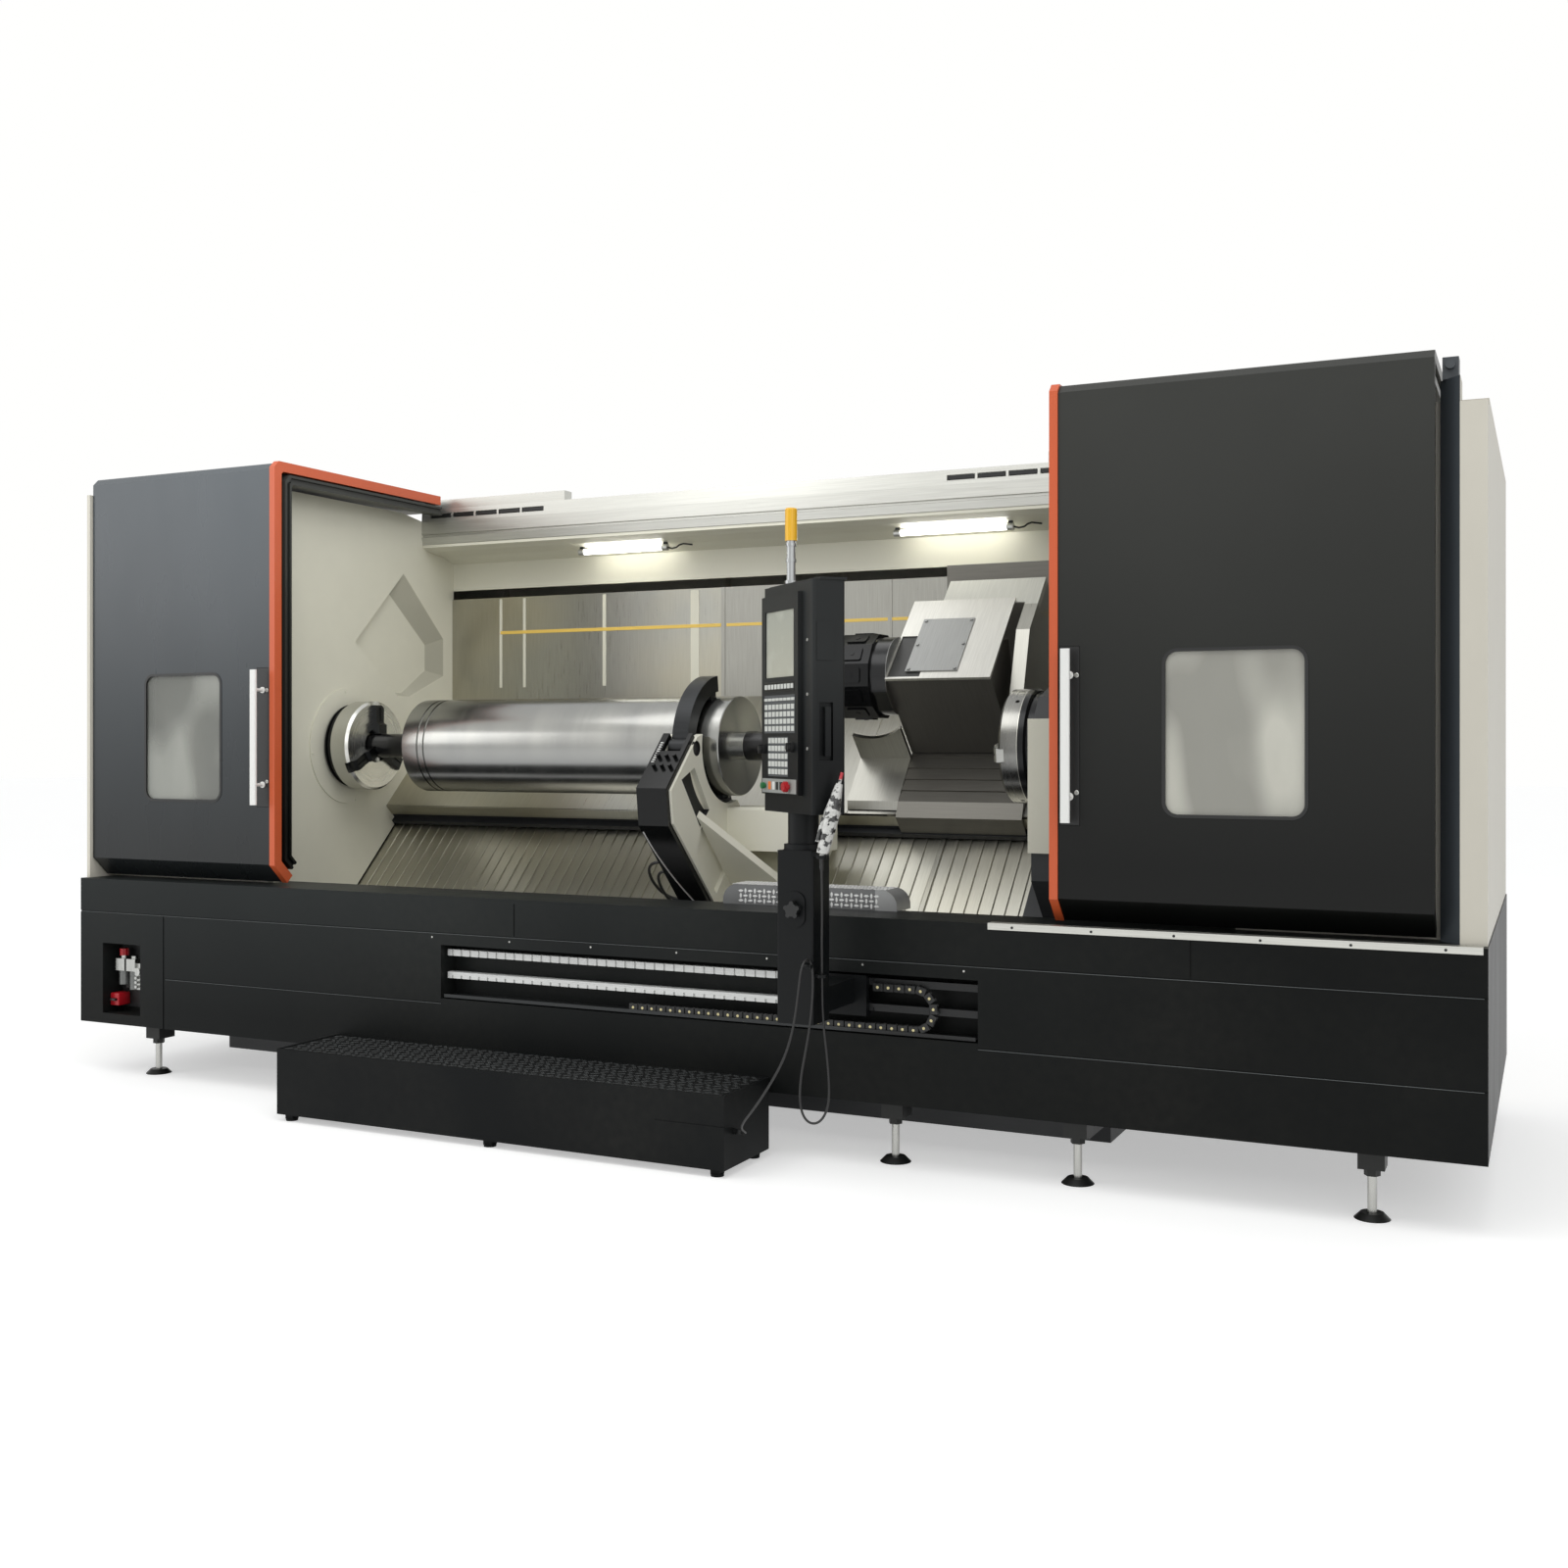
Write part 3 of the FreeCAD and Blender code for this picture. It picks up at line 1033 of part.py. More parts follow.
def carriage_saddle():
    """Bridge over the slope cover: stepped front, lower shoe, rear upright and hook on the rear rail."""
    low = UPPER_COVER + SADDLE_CLEAR
    outline = [(LIP_U[1], LIP_N), (LIP_U[0], LIP_N), (LIP_U[0], low), (SADDLE_STEPS[0], SADDLE_TOP - 24)]
    for i, u in enumerate(SADDLE_STEPS[1:]):
        outline += [(u, SADDLE_TOP - 24 + 6 * i), (u, SADDLE_TOP - 24 + 6 * (i + 1))]
    rear_face = depth(WALL_SETBACK) - 12 - SADDLE_CLEAR
    rear_u = (rear_face - AXIS_Y) / math.cos(SLANT)
    outline += [(rear_u + SADDLE_TOP - 20, SADDLE_TOP), (rear_u + low, low), (LIP_U[1], low)]
    bridge = slant_bar(outline, *SADDLE_X)
    upright = bar_x([slant(rear_u + low - 40, low + 40), slant(rear_u + low, low),
                     (rear_face, WALL_SLOT_Z[1] - 4), (rear_face - 60, WALL_SLOT_Z[1] - 4)],
                    SADDLE_X[0] + 60, SADDLE_X[1] - 20)
    rail_y = depth(REAR_RAIL_SETBACK)
    hook_x = (SADDLE_X[0] + 80, SADDLE_X[1] - 60)
    hook = block(hook_x, (rear_face - 1, rail_y + 60), (WALL_SLOT_Z[0] + 4, WALL_SLOT_Z[1] - 4))
    shoe = block(hook_x, (rail_y - 60, rail_y + 60), (REAR_RAIL_HEIGHT - 30, WALL_SLOT_Z[0] + 5))
    rail_room = block((0, 2000), (rail_y - 20 - SLIDE_GAP, rail_y + 25 + SLIDE_GAP),
                      (REAR_RAIL_HEIGHT - 31, REAR_RAIL_HEIGHT + SLIDE_GAP))
    return fused([bridge, upright, hook, shoe]).cut(rail_room)


def saddle_covers():
    """Sheet guards that travel with the saddle: moving slope cover, front guard and rear cover."""
    return Part.makeCompound([moving_cover(), saddle_wing(), saddle_rear_cover()])


def saddle_wing():
    """Guard left of the saddle: a skirt over the slope with a hollowed cream top edge."""
    low = UPPER_COVER + SADDLE_CLEAR
    plate = slant_bar([(2, low), (30, SADDLE_TOP - 24), (282, SADDLE_TOP), (282, -172), (300, -160),
                       (300, low)], WING_X, SADDLE_X[0])
    hollow = rod((WING_X + 90, *slant(270, -20)), (0, math.cos(SLANT), math.sin(SLANT)), 215, 60)
    return plate.cut(hollow)


def moving_cover():
    """Stainless covers that travel with the saddle, lapping over the fixed ones."""
    sheet = cover_sheet(*MOVING_COVER_X, MOVING_LIFT)
    ribs = [cover_sheet(x, x + 22, MOVING_LIFT + 3)
            for x in (MOVING_COVER_X[0], WING_X - 22, SADDLE_X[1], MOVING_COVER_X[1] - 22)]
    return fused([sheet] + ribs)


def tool_ram():
    """Ram that carries the turret: faceted block, overhanging top plate and round turret seat."""
    n_low = SADDLE_TOP + 6
    body = slant_bar([(RAM_FRONT_U, n_low), (RAM_FRONT_U, RAM_TOP_N - 14), (560, RAM_TOP_N - 14),
                      (620, 60), (560, -60), (540, n_low)], *RAM_X)
    plate = slant_box(RAM_X, (RAM_FRONT_U - 6, 836), (RAM_TOP_N - 14, RAM_TOP_N))
    inset = slant_box((RAM_X[0] + 8, RAM_X[0] + 160), (RAM_FRONT_U + 6, 590), (RAM_TOP_N - 6, RAM_TOP_N + 1))
    seat = rod((TURRET_X[1] + SLIDE_GAP, *slant(TURRET_U, 0)), (1, 0, 0), TURRET_FLANGE_R,
               RAM_X[0] - TURRET_X[1] + 1)
    bore = rod((TURRET_X[1] - 1, *slant(TURRET_U, 0)), (1, 0, 0), TURRET_SHAFT_R, 260)
    trimmed = fused([body, plate, seat.common(slant_box((0, 2000), (RAM_FRONT_U - 30, 2000), (-400, 400)))])
    return fused([cut_all(trimmed, [inset, bore]), ram_cover_plate()])


COVER_PLATE_X = (835.0, 1080.0)
COVER_PLATE_U = (350.0, 700.0)


def ram_cover_plate():
    """Screwed inspection plate on the ram's slanted top."""
    plate = slant_box(COVER_PLATE_X, COVER_PLATE_U, (RAM_TOP_N - 1, RAM_TOP_N + 5))
    screws = []
    for x in (COVER_PLATE_X[0] + 14, COVER_PLATE_X[1] - 14):
        for u in (COVER_PLATE_U[0] + 14, sum(COVER_PLATE_U) / 2, COVER_PLATE_U[1] - 14):
            screws.append(rod((x, *slant(u, RAM_TOP_N + 4)), (0, -math.sin(SLANT), math.cos(SLANT)), 8, 6))
    return fused([plate] + screws)


REAR_COVER_X = (880.0, 1342.0)


def saddle_rear_cover():
    """Cover behind the ram: slanted roof under the ram's plate, and a cheek at its right."""
    top = RAM_TOP_N - 22
    roof = slant_box(REAR_COVER_X, (828, 1000), (top - 4, top))
    outline = [(330, SADDLE_TOP), (330, -60), (640, top), (1000, top), (1000, -60), (740, SADDLE_TOP)]
    cheek = slant_bar(outline, RAM_X[1] + 40, REAR_COVER_X[1])
    return fused([roof, cheek])


def turret_disc():
    """Twelve-sided disc with a round flange, a shaft, and a screwed blanking plate on each station."""
    y, z = slant(TURRET_U, 0)
    corner = [math.radians(15 + 360 / TURRET_FACES * k) for k in range(TURRET_FACES)]
    disc = bar_x([(y + TURRET_R * math.cos(a), z + TURRET_R * math.sin(a)) for a in corner], *TURRET_X)
    front = rod((TURRET_X[0] - 18, y, z), (1, 0, 0), 120, 19)
    shaft = rod((TURRET_X[1] - 1, y, z), (1, 0, 0), TURRET_SHAFT_R - RUNNING, 240)
    flat = TURRET_R * math.cos(math.pi / TURRET_FACES)
    blank = round_plate((TURRET_X[0] + 40, TURRET_X[1] - 40), (y + flat - 1, y + flat + 7), (z - 34, z + 34),
                        10, (0, 1, 0))
    screw = rod((sum(TURRET_X) / 2, y + flat + 6, z), (0, 1, 0), 11, 3)
    plates = []
    for k in range(TURRET_FACES):
        plate = fused([blank, screw])
        plate.rotate(V(0, y, z), V(1, 0, 0), 360 / TURRET_FACES * k)
        plates.append(plate)
    return fused([disc, front, shaft] + plates)


# ------------------------------------------------------------------ operator's pendant

PENDANT_X = 915.0
PENDANT_REACH = 330.0           # column axis in front of the skirt's face
COLUMN_WIDTH = 148.0
COLUMN_DEPTH = 152.0
COLUMN_Z = (615.0, 1256.0)
SLIDE_WING = 40.0               # slide plate beyond the column on each side
NECK_R = 58.0
HEAD_Z = (1394.0, 2245.0)
HEAD_WIDTH = 456.0
HEAD_DEPTH = 130.0
HEAD_TURN = -41.0               # the face looks towards the step
CONSOLE_GAP = 0.4
PENDANT_Y = SKIRT_FACE - PENDANT_REACH


def pendant_point(right, out, z):
    """A point given to the right of and out of the pendant's face, in the machine's frame."""
    a = math.radians(HEAD_TURN)
    return V(PENDANT_X + right * math.cos(a) + out * math.sin(a),
             PENDANT_Y + right * math.sin(a) - out * math.cos(a), z)


def on_pendant(shape):
    """Turns a shape drawn with its face to the front, about the column's axis."""
    shape.rotate(V(PENDANT_X, PENDANT_Y, 0), V(0, 0, 1), HEAD_TURN)
    return shape


def pendant_column():
    """Slide with four bearing blocks on the rails, arm, square column, neck and hose bracket."""
    x = (PENDANT_X - COLUMN_WIDTH / 2, PENDANT_X + COLUMN_WIDTH / 2)
    y = (PENDANT_Y - COLUMN_DEPTH / 2, PENDANT_Y + COLUMN_DEPTH / 2)
    column = round_edges(block(x, y, COLUMN_Z), 8, (0, 0, 1))
    rail_face = SKIRT_FACE + RAIL_PROUD
    slide = block((x[0] - SLIDE_WING, x[1] + SLIDE_WING), (rail_face - 30, rail_face - SLIDE_GAP - 2),
                  (590, 748))
    arm = block((x[0] + 12, x[1] - 12), (y[1] - 1, rail_face - 29), (640, 735))
    blocks = []
    for rail_z in RAIL_ZS:
        for bx in (x[0] - SLIDE_WING, x[1] + SLIDE_WING - 60):
            bearing = block((bx, bx + 60), (rail_face - 6, rail_face + 20), (rail_z - 24, rail_z + 24))
            room = block((bx - 1, bx + 61), (rail_face - SLIDE_GAP, rail_face + 21),
                         (rail_z - RAIL_HEIGHT / 2 - SLIDE_GAP, rail_z + RAIL_HEIGHT / 2 + SLIDE_GAP))
            blocks.append(bearing.cut(room))
    flange = rod((PENDANT_X, PENDANT_Y, COLUMN_Z[1] - 1), (0, 0, 1), NECK_R + 15, 22)
    neck = rod((PENDANT_X, PENDANT_Y, COLUMN_Z[1]), (0, 0, 1), NECK_R, HEAD_Z[0] - COLUMN_Z[1] + 60)
    plate = round_plate((PENDANT_X - 43, PENDANT_X + 43), (y[0] - 6, y[0] + 1), (973, 1105), 38, (0, 1, 0))
    stud = rod((PENDANT_X, y[0] - 5, 1039), (0, -1, 0), 9 - RUNNING, 16)
    return fused([column, slide, arm, flange, neck, plate, stud] + blocks + hose_hooks(x[1], y[0]))


GUN_XYZ = (1084.5, PENDANT_Y - 213.6, 1240.0)
RING_XYZ = (1014.5, PENDANT_Y - 52.2, 790.0)
PEG_YZ = (PENDANT_Y - 152.0, 842.0)
HOSE_END = (626.0, SKIRT_FACE - 310.0, 167.0)


def hose_hooks(side, front):
    """Holder ring for the gun, guide ring for the hose, and the peg its loop hangs over."""
    parts = []
    for (x, y, z), bore, root_y in ((GUN_XYZ, 15, front + 12), (RING_XYZ, 16, RING_XYZ[1])):
        ring = rod((x, y, z), (0, 0, 1), bore + 4, 12)
        web = bar_z([(side - 10, root_y - 8), (x, y - 8), (x, y + 8), (side - 10, root_y + 8)], z, z + 12)
        parts.append(fused([ring, web]).cut(rod((x, y, z - 1), (0, 0, 1), bore, 14)))
    parts.append(block((side - 15, side), (PEG_YZ[0] - 8, front + 1), (PEG_YZ[1] - 8, PEG_YZ[1] + 8)))
    parts.append(rod((side - 1, *PEG_YZ), (1, 0, 0), 8, 30))
    return parts


def clamp_knob():
    """Star knob that clamps the column's height, on its stud."""
    y = PENDANT_Y - COLUMN_DEPTH / 2 - 6 - 2
    hub = rod((PENDANT_X, y, 1039), (0, -1, 0), 24, 26)
    lobes = [rod((PENDANT_X + 24 * math.cos(a), y - 4, 1039 + 24 * math.sin(a)), (0, -1, 0), 9, 22)
             for a in [math.radians(72 * k + 18) for k in range(5)]]
    bore = rod((PENDANT_X, y + 1, 1039), (0, -1, 0), 9, 15)
    return fused([hub] + lobes).cut(bore)


SCREEN_RIGHT = (-172.0, 96.0)
SCREEN_HEIGHTS = (1899.0, 2148.0)
BEZEL_RIGHT = (-205.0, 135.0)
BEZEL_HEIGHTS = (1461.0, 2207.0)
BEZEL_PROUD = 18.0
KNOBS = {"feed_knob": (-180.0, 1631.0), "speed_knob": (84.0, 1637.0)}
STOP_AT = (56.0, 1492.0)
START_AT = (-168.0, 1492.0)
STOP_STEM_R = 9.0
START_STEM_R = 8.0
KNOB_STEM_R = 6.0
LAMP_AT = -70.0
GRIP_GAP = 32.0


def head_block(right, out, z):
    """A box on the pendant head, in its own right, out and height."""
    y = PENDANT_Y - HEAD_DEPTH / 2
    shape = block((PENDANT_X + right[0], PENDANT_X + right[1]), (y - out[1], y - out[0]), z)
    return on_pendant(shape)


def head_rod(right, height, out0, length, radius):
    y = PENDANT_Y - HEAD_DEPTH / 2
    return on_pendant(rod((PENDANT_X + right, y - out0, height), (0, -1, 0), radius, length))


def pendant_head():
    """Control housing: raised console with screen and button seats, side pocket, cover and grip."""
    half = HEAD_WIDTH / 2
    shell = head_block((-half, half), (-HEAD_DEPTH, 0), HEAD_Z)
    shell = round_edges(shell, 12, (0, 0, 1))
    console = head_block(BEZEL_RIGHT, (-1, BEZEL_PROUD), BEZEL_HEIGHTS)
    screen = head_block(SCREEN_RIGHT, (BEZEL_PROUD - 6, BEZEL_PROUD + 1), SCREEN_HEIGHTS)
    pocket = head_block((half - 14, half + 1), (-80, -24), (1590, 1800))
    pull = head_block((half - 15, half + 8), (-68, -46), (1606, 1784))
    bore = rod((PENDANT_X, PENDANT_Y, HEAD_Z[0] - 1), (0, 0, 1), NECK_R + RUNNING, 62)
    stems = ((STOP_AT, STOP_STEM_R), (START_AT, START_STEM_R))
    stop_seat = [head_rod(*at, -60, BEZEL_PROUD + 61, r) for at, r in stems]
    knob_seat = [head_rod(*at, -40, BEZEL_PROUD + 41, KNOB_STEM_R) for at in KNOBS.values()]
    cap = head_block((-half - 4, half + 4), (-HEAD_DEPTH - 4, -26), (HEAD_Z[1] - 1, HEAD_Z[1] + 8))
    grip = [head_block((-half - GRIP_GAP - 10, -half + 1), (-70, -46), z) for z in ((1966, 1984), (2048, 2066))]
    grip.append(head_block((-half - GRIP_GAP - 18, -half - GRIP_GAP), (-74, -42), (1966, 2066)))
    panel = head_block((half - 1, half + 3), (-82, -14), (1952, 2092))
    body = cut_all(fused([shell, console]), [screen, pocket, bore] + stop_seat + knob_seat)
    return fused([body, cap, pull, panel] + grip)


def override_knob(name):
    """Pointer knob with a skirt and a grip bar; its stem turns in the head."""
    right, height = KNOBS[name]
    face = BEZEL_PROUD + CONSOLE_GAP
    skirt = head_rod(right, height, face, 8, 19)
    grip = head_rod(right, height, face + 7, 16, 13)
    pointer = head_block((right - 3, right + 3), (face + 7, face + 25), (height - 17, height + 17))
    stem = head_rod(right, height, -38, face + 39, KNOB_STEM_R - RUNNING)
    return fused([skirt, grip, pointer, stem])


def push_button(at, cap_r, stem_r, proud, dome):
    """A push button on a guided stem, its cap standing proud of the console."""
    out = BEZEL_PROUD + proud
    stem = head_rod(*at, -48, 49 + out, stem_r - RUNNING)
    cap = head_rod(*at, out, 12, cap_r)
    top = head_rod(*at, out + 11, dome, cap_r - 4)
    return fused([stem, cap, top])


def emergency_stop():
    return push_button(STOP_AT, 20, STOP_STEM_R, 10, 6)


def start_button():
    return push_button(START_AT, 12, START_STEM_R, 6, 2)


def signal_lamp():
    """Lens on a ringed tube that stands on the pendant head."""
    base = on_pendant(rod((PENDANT_X + LAMP_AT, PENDANT_Y - 20, HEAD_Z[1] + 8), (0, 0, 1), 24, 12))
    tube = on_pendant(rod((PENDANT_X + LAMP_AT, PENDANT_Y - 20, HEAD_Z[1] + 12), (0, 0, 1), 17, 160))
    rings = [on_pendant(rod((PENDANT_X + LAMP_AT, PENDANT_Y - 20, z), (0, 0, 1), 20, 12))
             for z in (HEAD_Z[1] + 90, HEAD_Z[1] + 150)]
    lens = on_pendant(rod((PENDANT_X + LAMP_AT, PENDANT_Y - 20, HEAD_Z[1] + 170), (0, 0, 1), 23, 124))
    lens = lens.makeFillet(7, [edge for edge in lens.Edges if edge.CenterOfMass.z > HEAD_Z[1] + 290])
    return fused([base, tube, lens] + rings)


# ------------------------------------------------------------------ air gun, hose and energy chain

GUN_TOP = 1545.0
GUN_LEAN = (55.5, 57.8)
HOSE_R = 4.5


def air_gun():
    """Blow gun hanging nose up on its hook: barrel, body, trigger and hose tail."""
    x, y, z = GUN_XYZ
    lean = V(GUN_LEAN[0], GUN_LEAN[1], GUN_TOP - z)
    start = V(x, y, z + 3)
    axis = V(lean.x, lean.y, lean.z).normalize()
    length = lean.Length
    tail = Part.makeCylinder(9, 16, start, axis)
    body = Part.makeCone(22, 30, length * 0.5, start + axis * 15, axis)
    barrel = Part.makeCone(28, 13, length * 0.32, start + axis * (14 + length * 0.5), axis)
    nozzle = Part.makeCylinder(6, length * 0.14, start + axis * (12 + length * 0.82), axis)
    lever = Part.makeCylinder(7, 90, start + axis * 60 + V(-23, -20, 0), axis)
    return fused([tail, body, barrel, nozzle, lever])


HOSE_POINTS = [
    (1084.5, -213.6, 1240), (1083, -206, 1172), (1074, -184, 1092), (1058, -148, 1012),
    (1038, -106, 936), (1021, -68, 858), (1012, -46, 772), (1011, -42, 690), (1018, -45, 605),
    (1031, -50, 525), (1042, -56, 445),
    (1048, -60, 365), (1040, -66, 300), (1012, -74, 258), (975, -82, 255), (948, -88, 290),
    (942, -94, 360), (952, -98, 440), (972, -102, 530), (990, -105, 620), (1000, -106, 710),
    (1003, -107, 770), (1003, -110, 830), (1002, -135, 866), (1000, -172, 868), (996, -196, 836),
    (990, -202, 770), (980, -206, 680), (962, -208, 590), (930, -206, 505), (885, -200, 430),
    (835, -188, 360), (785, -170, 300), (735, -140, 250), (700, -95, 212), (690, -40, 185),
    (672, 4, 170), (628.5, 20, 167),
]


def hose_point(x, out, z):
    """Hose points are given in front of the pendant column's axis."""
    return V(x, PENDANT_Y + out, z)


def rounded_path(points, share=0.45):
    """Straight runs joined by tangent arcs, with the radius of each arc."""
    edges, radii = [], []
    here = points[0]
    for before, corner, after in zip(points, points[1:], points[2:]):
        a, b = corner - before, after - corner
        short = min(a.Length, b.Length)
        turn = a.getAngle(b)
        radius = share * short / math.tan(turn / 2)
        reach = radius * math.tan(turn / 2)
        a.normalize()
        b.normalize()
        enter, leave = corner - a * reach, corner + b * reach
        towards = (b - a).normalize()
        middle = corner + towards * (radius / math.cos(turn / 2) - radius)
        edges += [Part.LineSegment(here, enter).toShape(), Part.Arc(enter, middle, leave).toShape()]
        radii.append(radius)
        here = leave
    edges.append(Part.LineSegment(here, points[-1]).toShape())
    return Part.Wire(edges), radii


def tube(points, radius):
    """A round tube along a rounded path, and what its path measures."""
    path, radii = rounded_path(points)
    section = Part.Wire(Part.makeCircle(radius, points[0], points[1] - points[0]))
    solid = path.makePipeShell([section], True, True, 2)
    share = solid.Volume / (math.pi * radius ** 2 * path.Length)
    print(f"hose: length {path.Length:.0f} mm, least radius {min(radii):.0f} mm, volume share {share:.4f}")
    return solid


def air_hose():
    return tube([hose_point(*p) for p in HOSE_POINTS], HOSE_R)


CHAIN_WIDTH = 40.0
CHAIN_THICK = 34.0
CHAIN_LOW_Z = 548.0
CHAIN_RADIUS = 78.0
CHAIN_X = (-40.0, 1225.0)
CHAIN_END_X = 1062.0


def energy_chain():
    """Cable chain in the slot: long lower run, round loop at the right and short upper run."""
    y0 = SKIRT_FACE + 12
    low, high = CHAIN_LOW_Z, CHAIN_LOW_Z + 2 * CHAIN_RADIUS
    centre = (CHAIN_X[1], CHAIN_LOW_Z + CHAIN_RADIUS)
    half = CHAIN_THICK / 2
    lower = block((CHAIN_X[0], centre[0]), (y0, y0 + CHAIN_WIDTH - 20), (low - half, low + half))
    upper = block((CHAIN_END_X, centre[0]), (y0, y0 + CHAIN_WIDTH - 20), (high - half, high + half))
    ring = rod((centre[0], y0, centre[1]), (0, 1, 0), CHAIN_RADIUS + half, CHAIN_WIDTH - 20)
    ring = ring.cut(rod((centre[0], y0 - 1, centre[1]), (0, 1, 0), CHAIN_RADIUS - half, CHAIN_WIDTH))
    loop = ring.common(block((centre[0], centre[0] + 200), (y0 - 1, y0 + 50), (low - 60, high + 60)))
    return fused([lower, upper, loop])


# ------------------------------------------------------------------ all nodes

def nodes():
    made = {
        "bed_casting": bed_casting,
        "levelling_feet": levelling_feet,
        "front_skirt": front_skirt,
        "ledge_strip": ledge_strip,
        "pendant_rails": pendant_rails,
        "service_unit": service_unit,
        "service_knob": service_knob,
        "step_platform": step_platform,
        "tread_plate": tread_plate,
        "left_cabin": left_cabin,
        "right_cabin": right_cabin,
        "rear_enclosure": rear_enclosure,
        "left_inner_wall": left_inner_wall,
        "back_wall": back_wall,
        "back_beam": back_beam,
        "work_lamps": work_lamps,
        "slope_cover_fixed": slope_cover_fixed,
        "lamella_left": lamella_left,
        "lamella_right": lamella_right,
        "main_headstock": main_headstock,
        "main_chuck": main_chuck,
        "turned_roll": turned_roll,
        "sub_headstock": sub_headstock,
        "sub_guard": sub_guard,
        "sub_chuck": sub_chuck,
        "steady_frame": steady_frame,
        "steady_cover": steady_cover,
        "steady_upper_arm": steady_upper_arm,
        "steady_lower_arm": steady_lower_arm,
        "carriage_saddle": carriage_saddle,
        "saddle_covers": saddle_covers,
        "tool_ram": tool_ram,
        "turret_disc": turret_disc,
        "pendant_column": pendant_column,
        "pendant_head": pendant_head,
        "clamp_knob": clamp_knob,
        "emergency_stop": emergency_stop,
        "start_button": start_button,
        "signal_lamp": signal_lamp,
        "air_gun": air_gun,
        "air_hose": air_hose,
        "energy_chain": energy_chain,
    }
    for name in KNOBS:
        made[name] = lambda name=name: override_knob(name)
    for i in range(len(MAIN_JAW_ANGLES)):
        made[f"main_jaw_{i + 1}"] = lambda i=i: main_jaw(i)
        made[f"sub_jaw_{i + 1}"] = lambda i=i: sub_jaw(i)
    for side, word in ((-1, "left"), (1, "right")):
        made[f"{word}_door_panel"] = lambda side=side: door_panel(side)
        made[f"{word}_door_trim"] = lambda side=side: door_trim(side)
        made[f"{word}_door_window"] = lambda side=side: door_window(side)
        made[f"{word}_door_handle"] = lambda side=side: door_handle(side)
        made[f"{word}_inner_door"] = lambda side=side: inner_door(side)
    return made


def main():
    os.makedirs("parts", exist_ok=True)
    for name, make in nodes().items():
        shape = make()
        if not shape.isValid() or not shape.Solids:
            raise RuntimeError(f"{name} is not a valid solid")
        shape.exportStep(os.path.join("parts", name + ".step"))
        box = shape.BoundBox
        print(f"{name:20s} solids {len(shape.Solids)} faces {len(shape.Faces):4d}",
              f"x {box.XMin:8.1f} {box.XMax:8.1f} y {box.YMin:8.1f} {box.YMax:8.1f}",
              f"z {box.ZMin:7.1f} {box.ZMax:7.1f}")


main()
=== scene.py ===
"""Large slant-bed turning centre: finishes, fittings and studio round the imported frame.

Metres. +X runs along the machine to the right as the operator sees it, +Y to the back, +Z up.
"""
import json
import math
import bmesh
import bpy
from mathutils import Matrix, Vector


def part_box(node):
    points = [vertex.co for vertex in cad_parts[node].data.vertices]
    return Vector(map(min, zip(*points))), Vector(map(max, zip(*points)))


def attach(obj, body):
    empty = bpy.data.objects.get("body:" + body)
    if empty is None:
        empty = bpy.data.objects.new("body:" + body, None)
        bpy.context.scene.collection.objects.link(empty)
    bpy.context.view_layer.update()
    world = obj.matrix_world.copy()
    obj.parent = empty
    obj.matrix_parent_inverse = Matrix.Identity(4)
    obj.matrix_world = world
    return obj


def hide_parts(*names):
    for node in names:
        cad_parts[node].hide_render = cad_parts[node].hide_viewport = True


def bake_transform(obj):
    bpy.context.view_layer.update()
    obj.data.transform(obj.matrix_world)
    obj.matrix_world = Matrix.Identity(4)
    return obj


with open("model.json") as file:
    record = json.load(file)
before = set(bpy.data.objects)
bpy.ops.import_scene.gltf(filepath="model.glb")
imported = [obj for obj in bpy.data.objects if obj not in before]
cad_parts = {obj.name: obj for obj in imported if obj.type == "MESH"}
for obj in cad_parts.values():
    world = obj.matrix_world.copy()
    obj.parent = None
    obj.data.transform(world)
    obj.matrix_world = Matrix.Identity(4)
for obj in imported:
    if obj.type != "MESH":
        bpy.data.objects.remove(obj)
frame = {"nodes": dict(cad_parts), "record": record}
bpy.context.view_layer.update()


# ---- places on the machine

SKIRT_FACE = -1.200
AXIS_Y, AXIS_Z = -0.450, 1.640          # spindle axis
HALF_ROOT = math.sqrt(0.5)
PENDANT_X, PENDANT_Y = 0.915, -1.530    # the pendant head's turning axis
HEAD_TURN = math.radians(-41)
HEAD_FACE = 0.065                       # pendant's face in front of its turning axis
CONSOLE = 0.018                         # raised console in front of that face
HEAD = Matrix.Translation((PENDANT_X, PENDANT_Y, 0)) @ Matrix.Rotation(HEAD_TURN, 4, "Z")


def on_slope(x, u, n):
    """A point u up the 45-degree slope and n out of it, from the spindle axis."""
    return Vector((x, AXIS_Y + HALF_ROOT * (u - n), AXIS_Z + HALF_ROOT * (u + n)))


# ---- node trees

class Value:
    """An output of a node; arithmetic on it adds Math nodes."""

    def __init__(self, network, socket):
        self.network, self.socket = network, socket

    def math(self, operation, *others, clamp=False):
        return self.network.maths(operation, self, *others, clamp=clamp)

    def __add__(self, other):
        return self.math("ADD", other)

    def __sub__(self, other):
        return self.math("SUBTRACT", other)

    def __mul__(self, other):
        return self.math("MULTIPLY", other)

    def __truediv__(self, other):
        return self.math("DIVIDE", other)

    def __rsub__(self, other):
        return self.network.maths("SUBTRACT", other, self)

    __radd__ = __add__
    __rmul__ = __mul__

    def between(self, low, high):
        """0 below one value, 1 above the other, and straight in between."""
        return ((self - low) * (1 / (high - low))).math("ADD", 0.0, clamp=True)


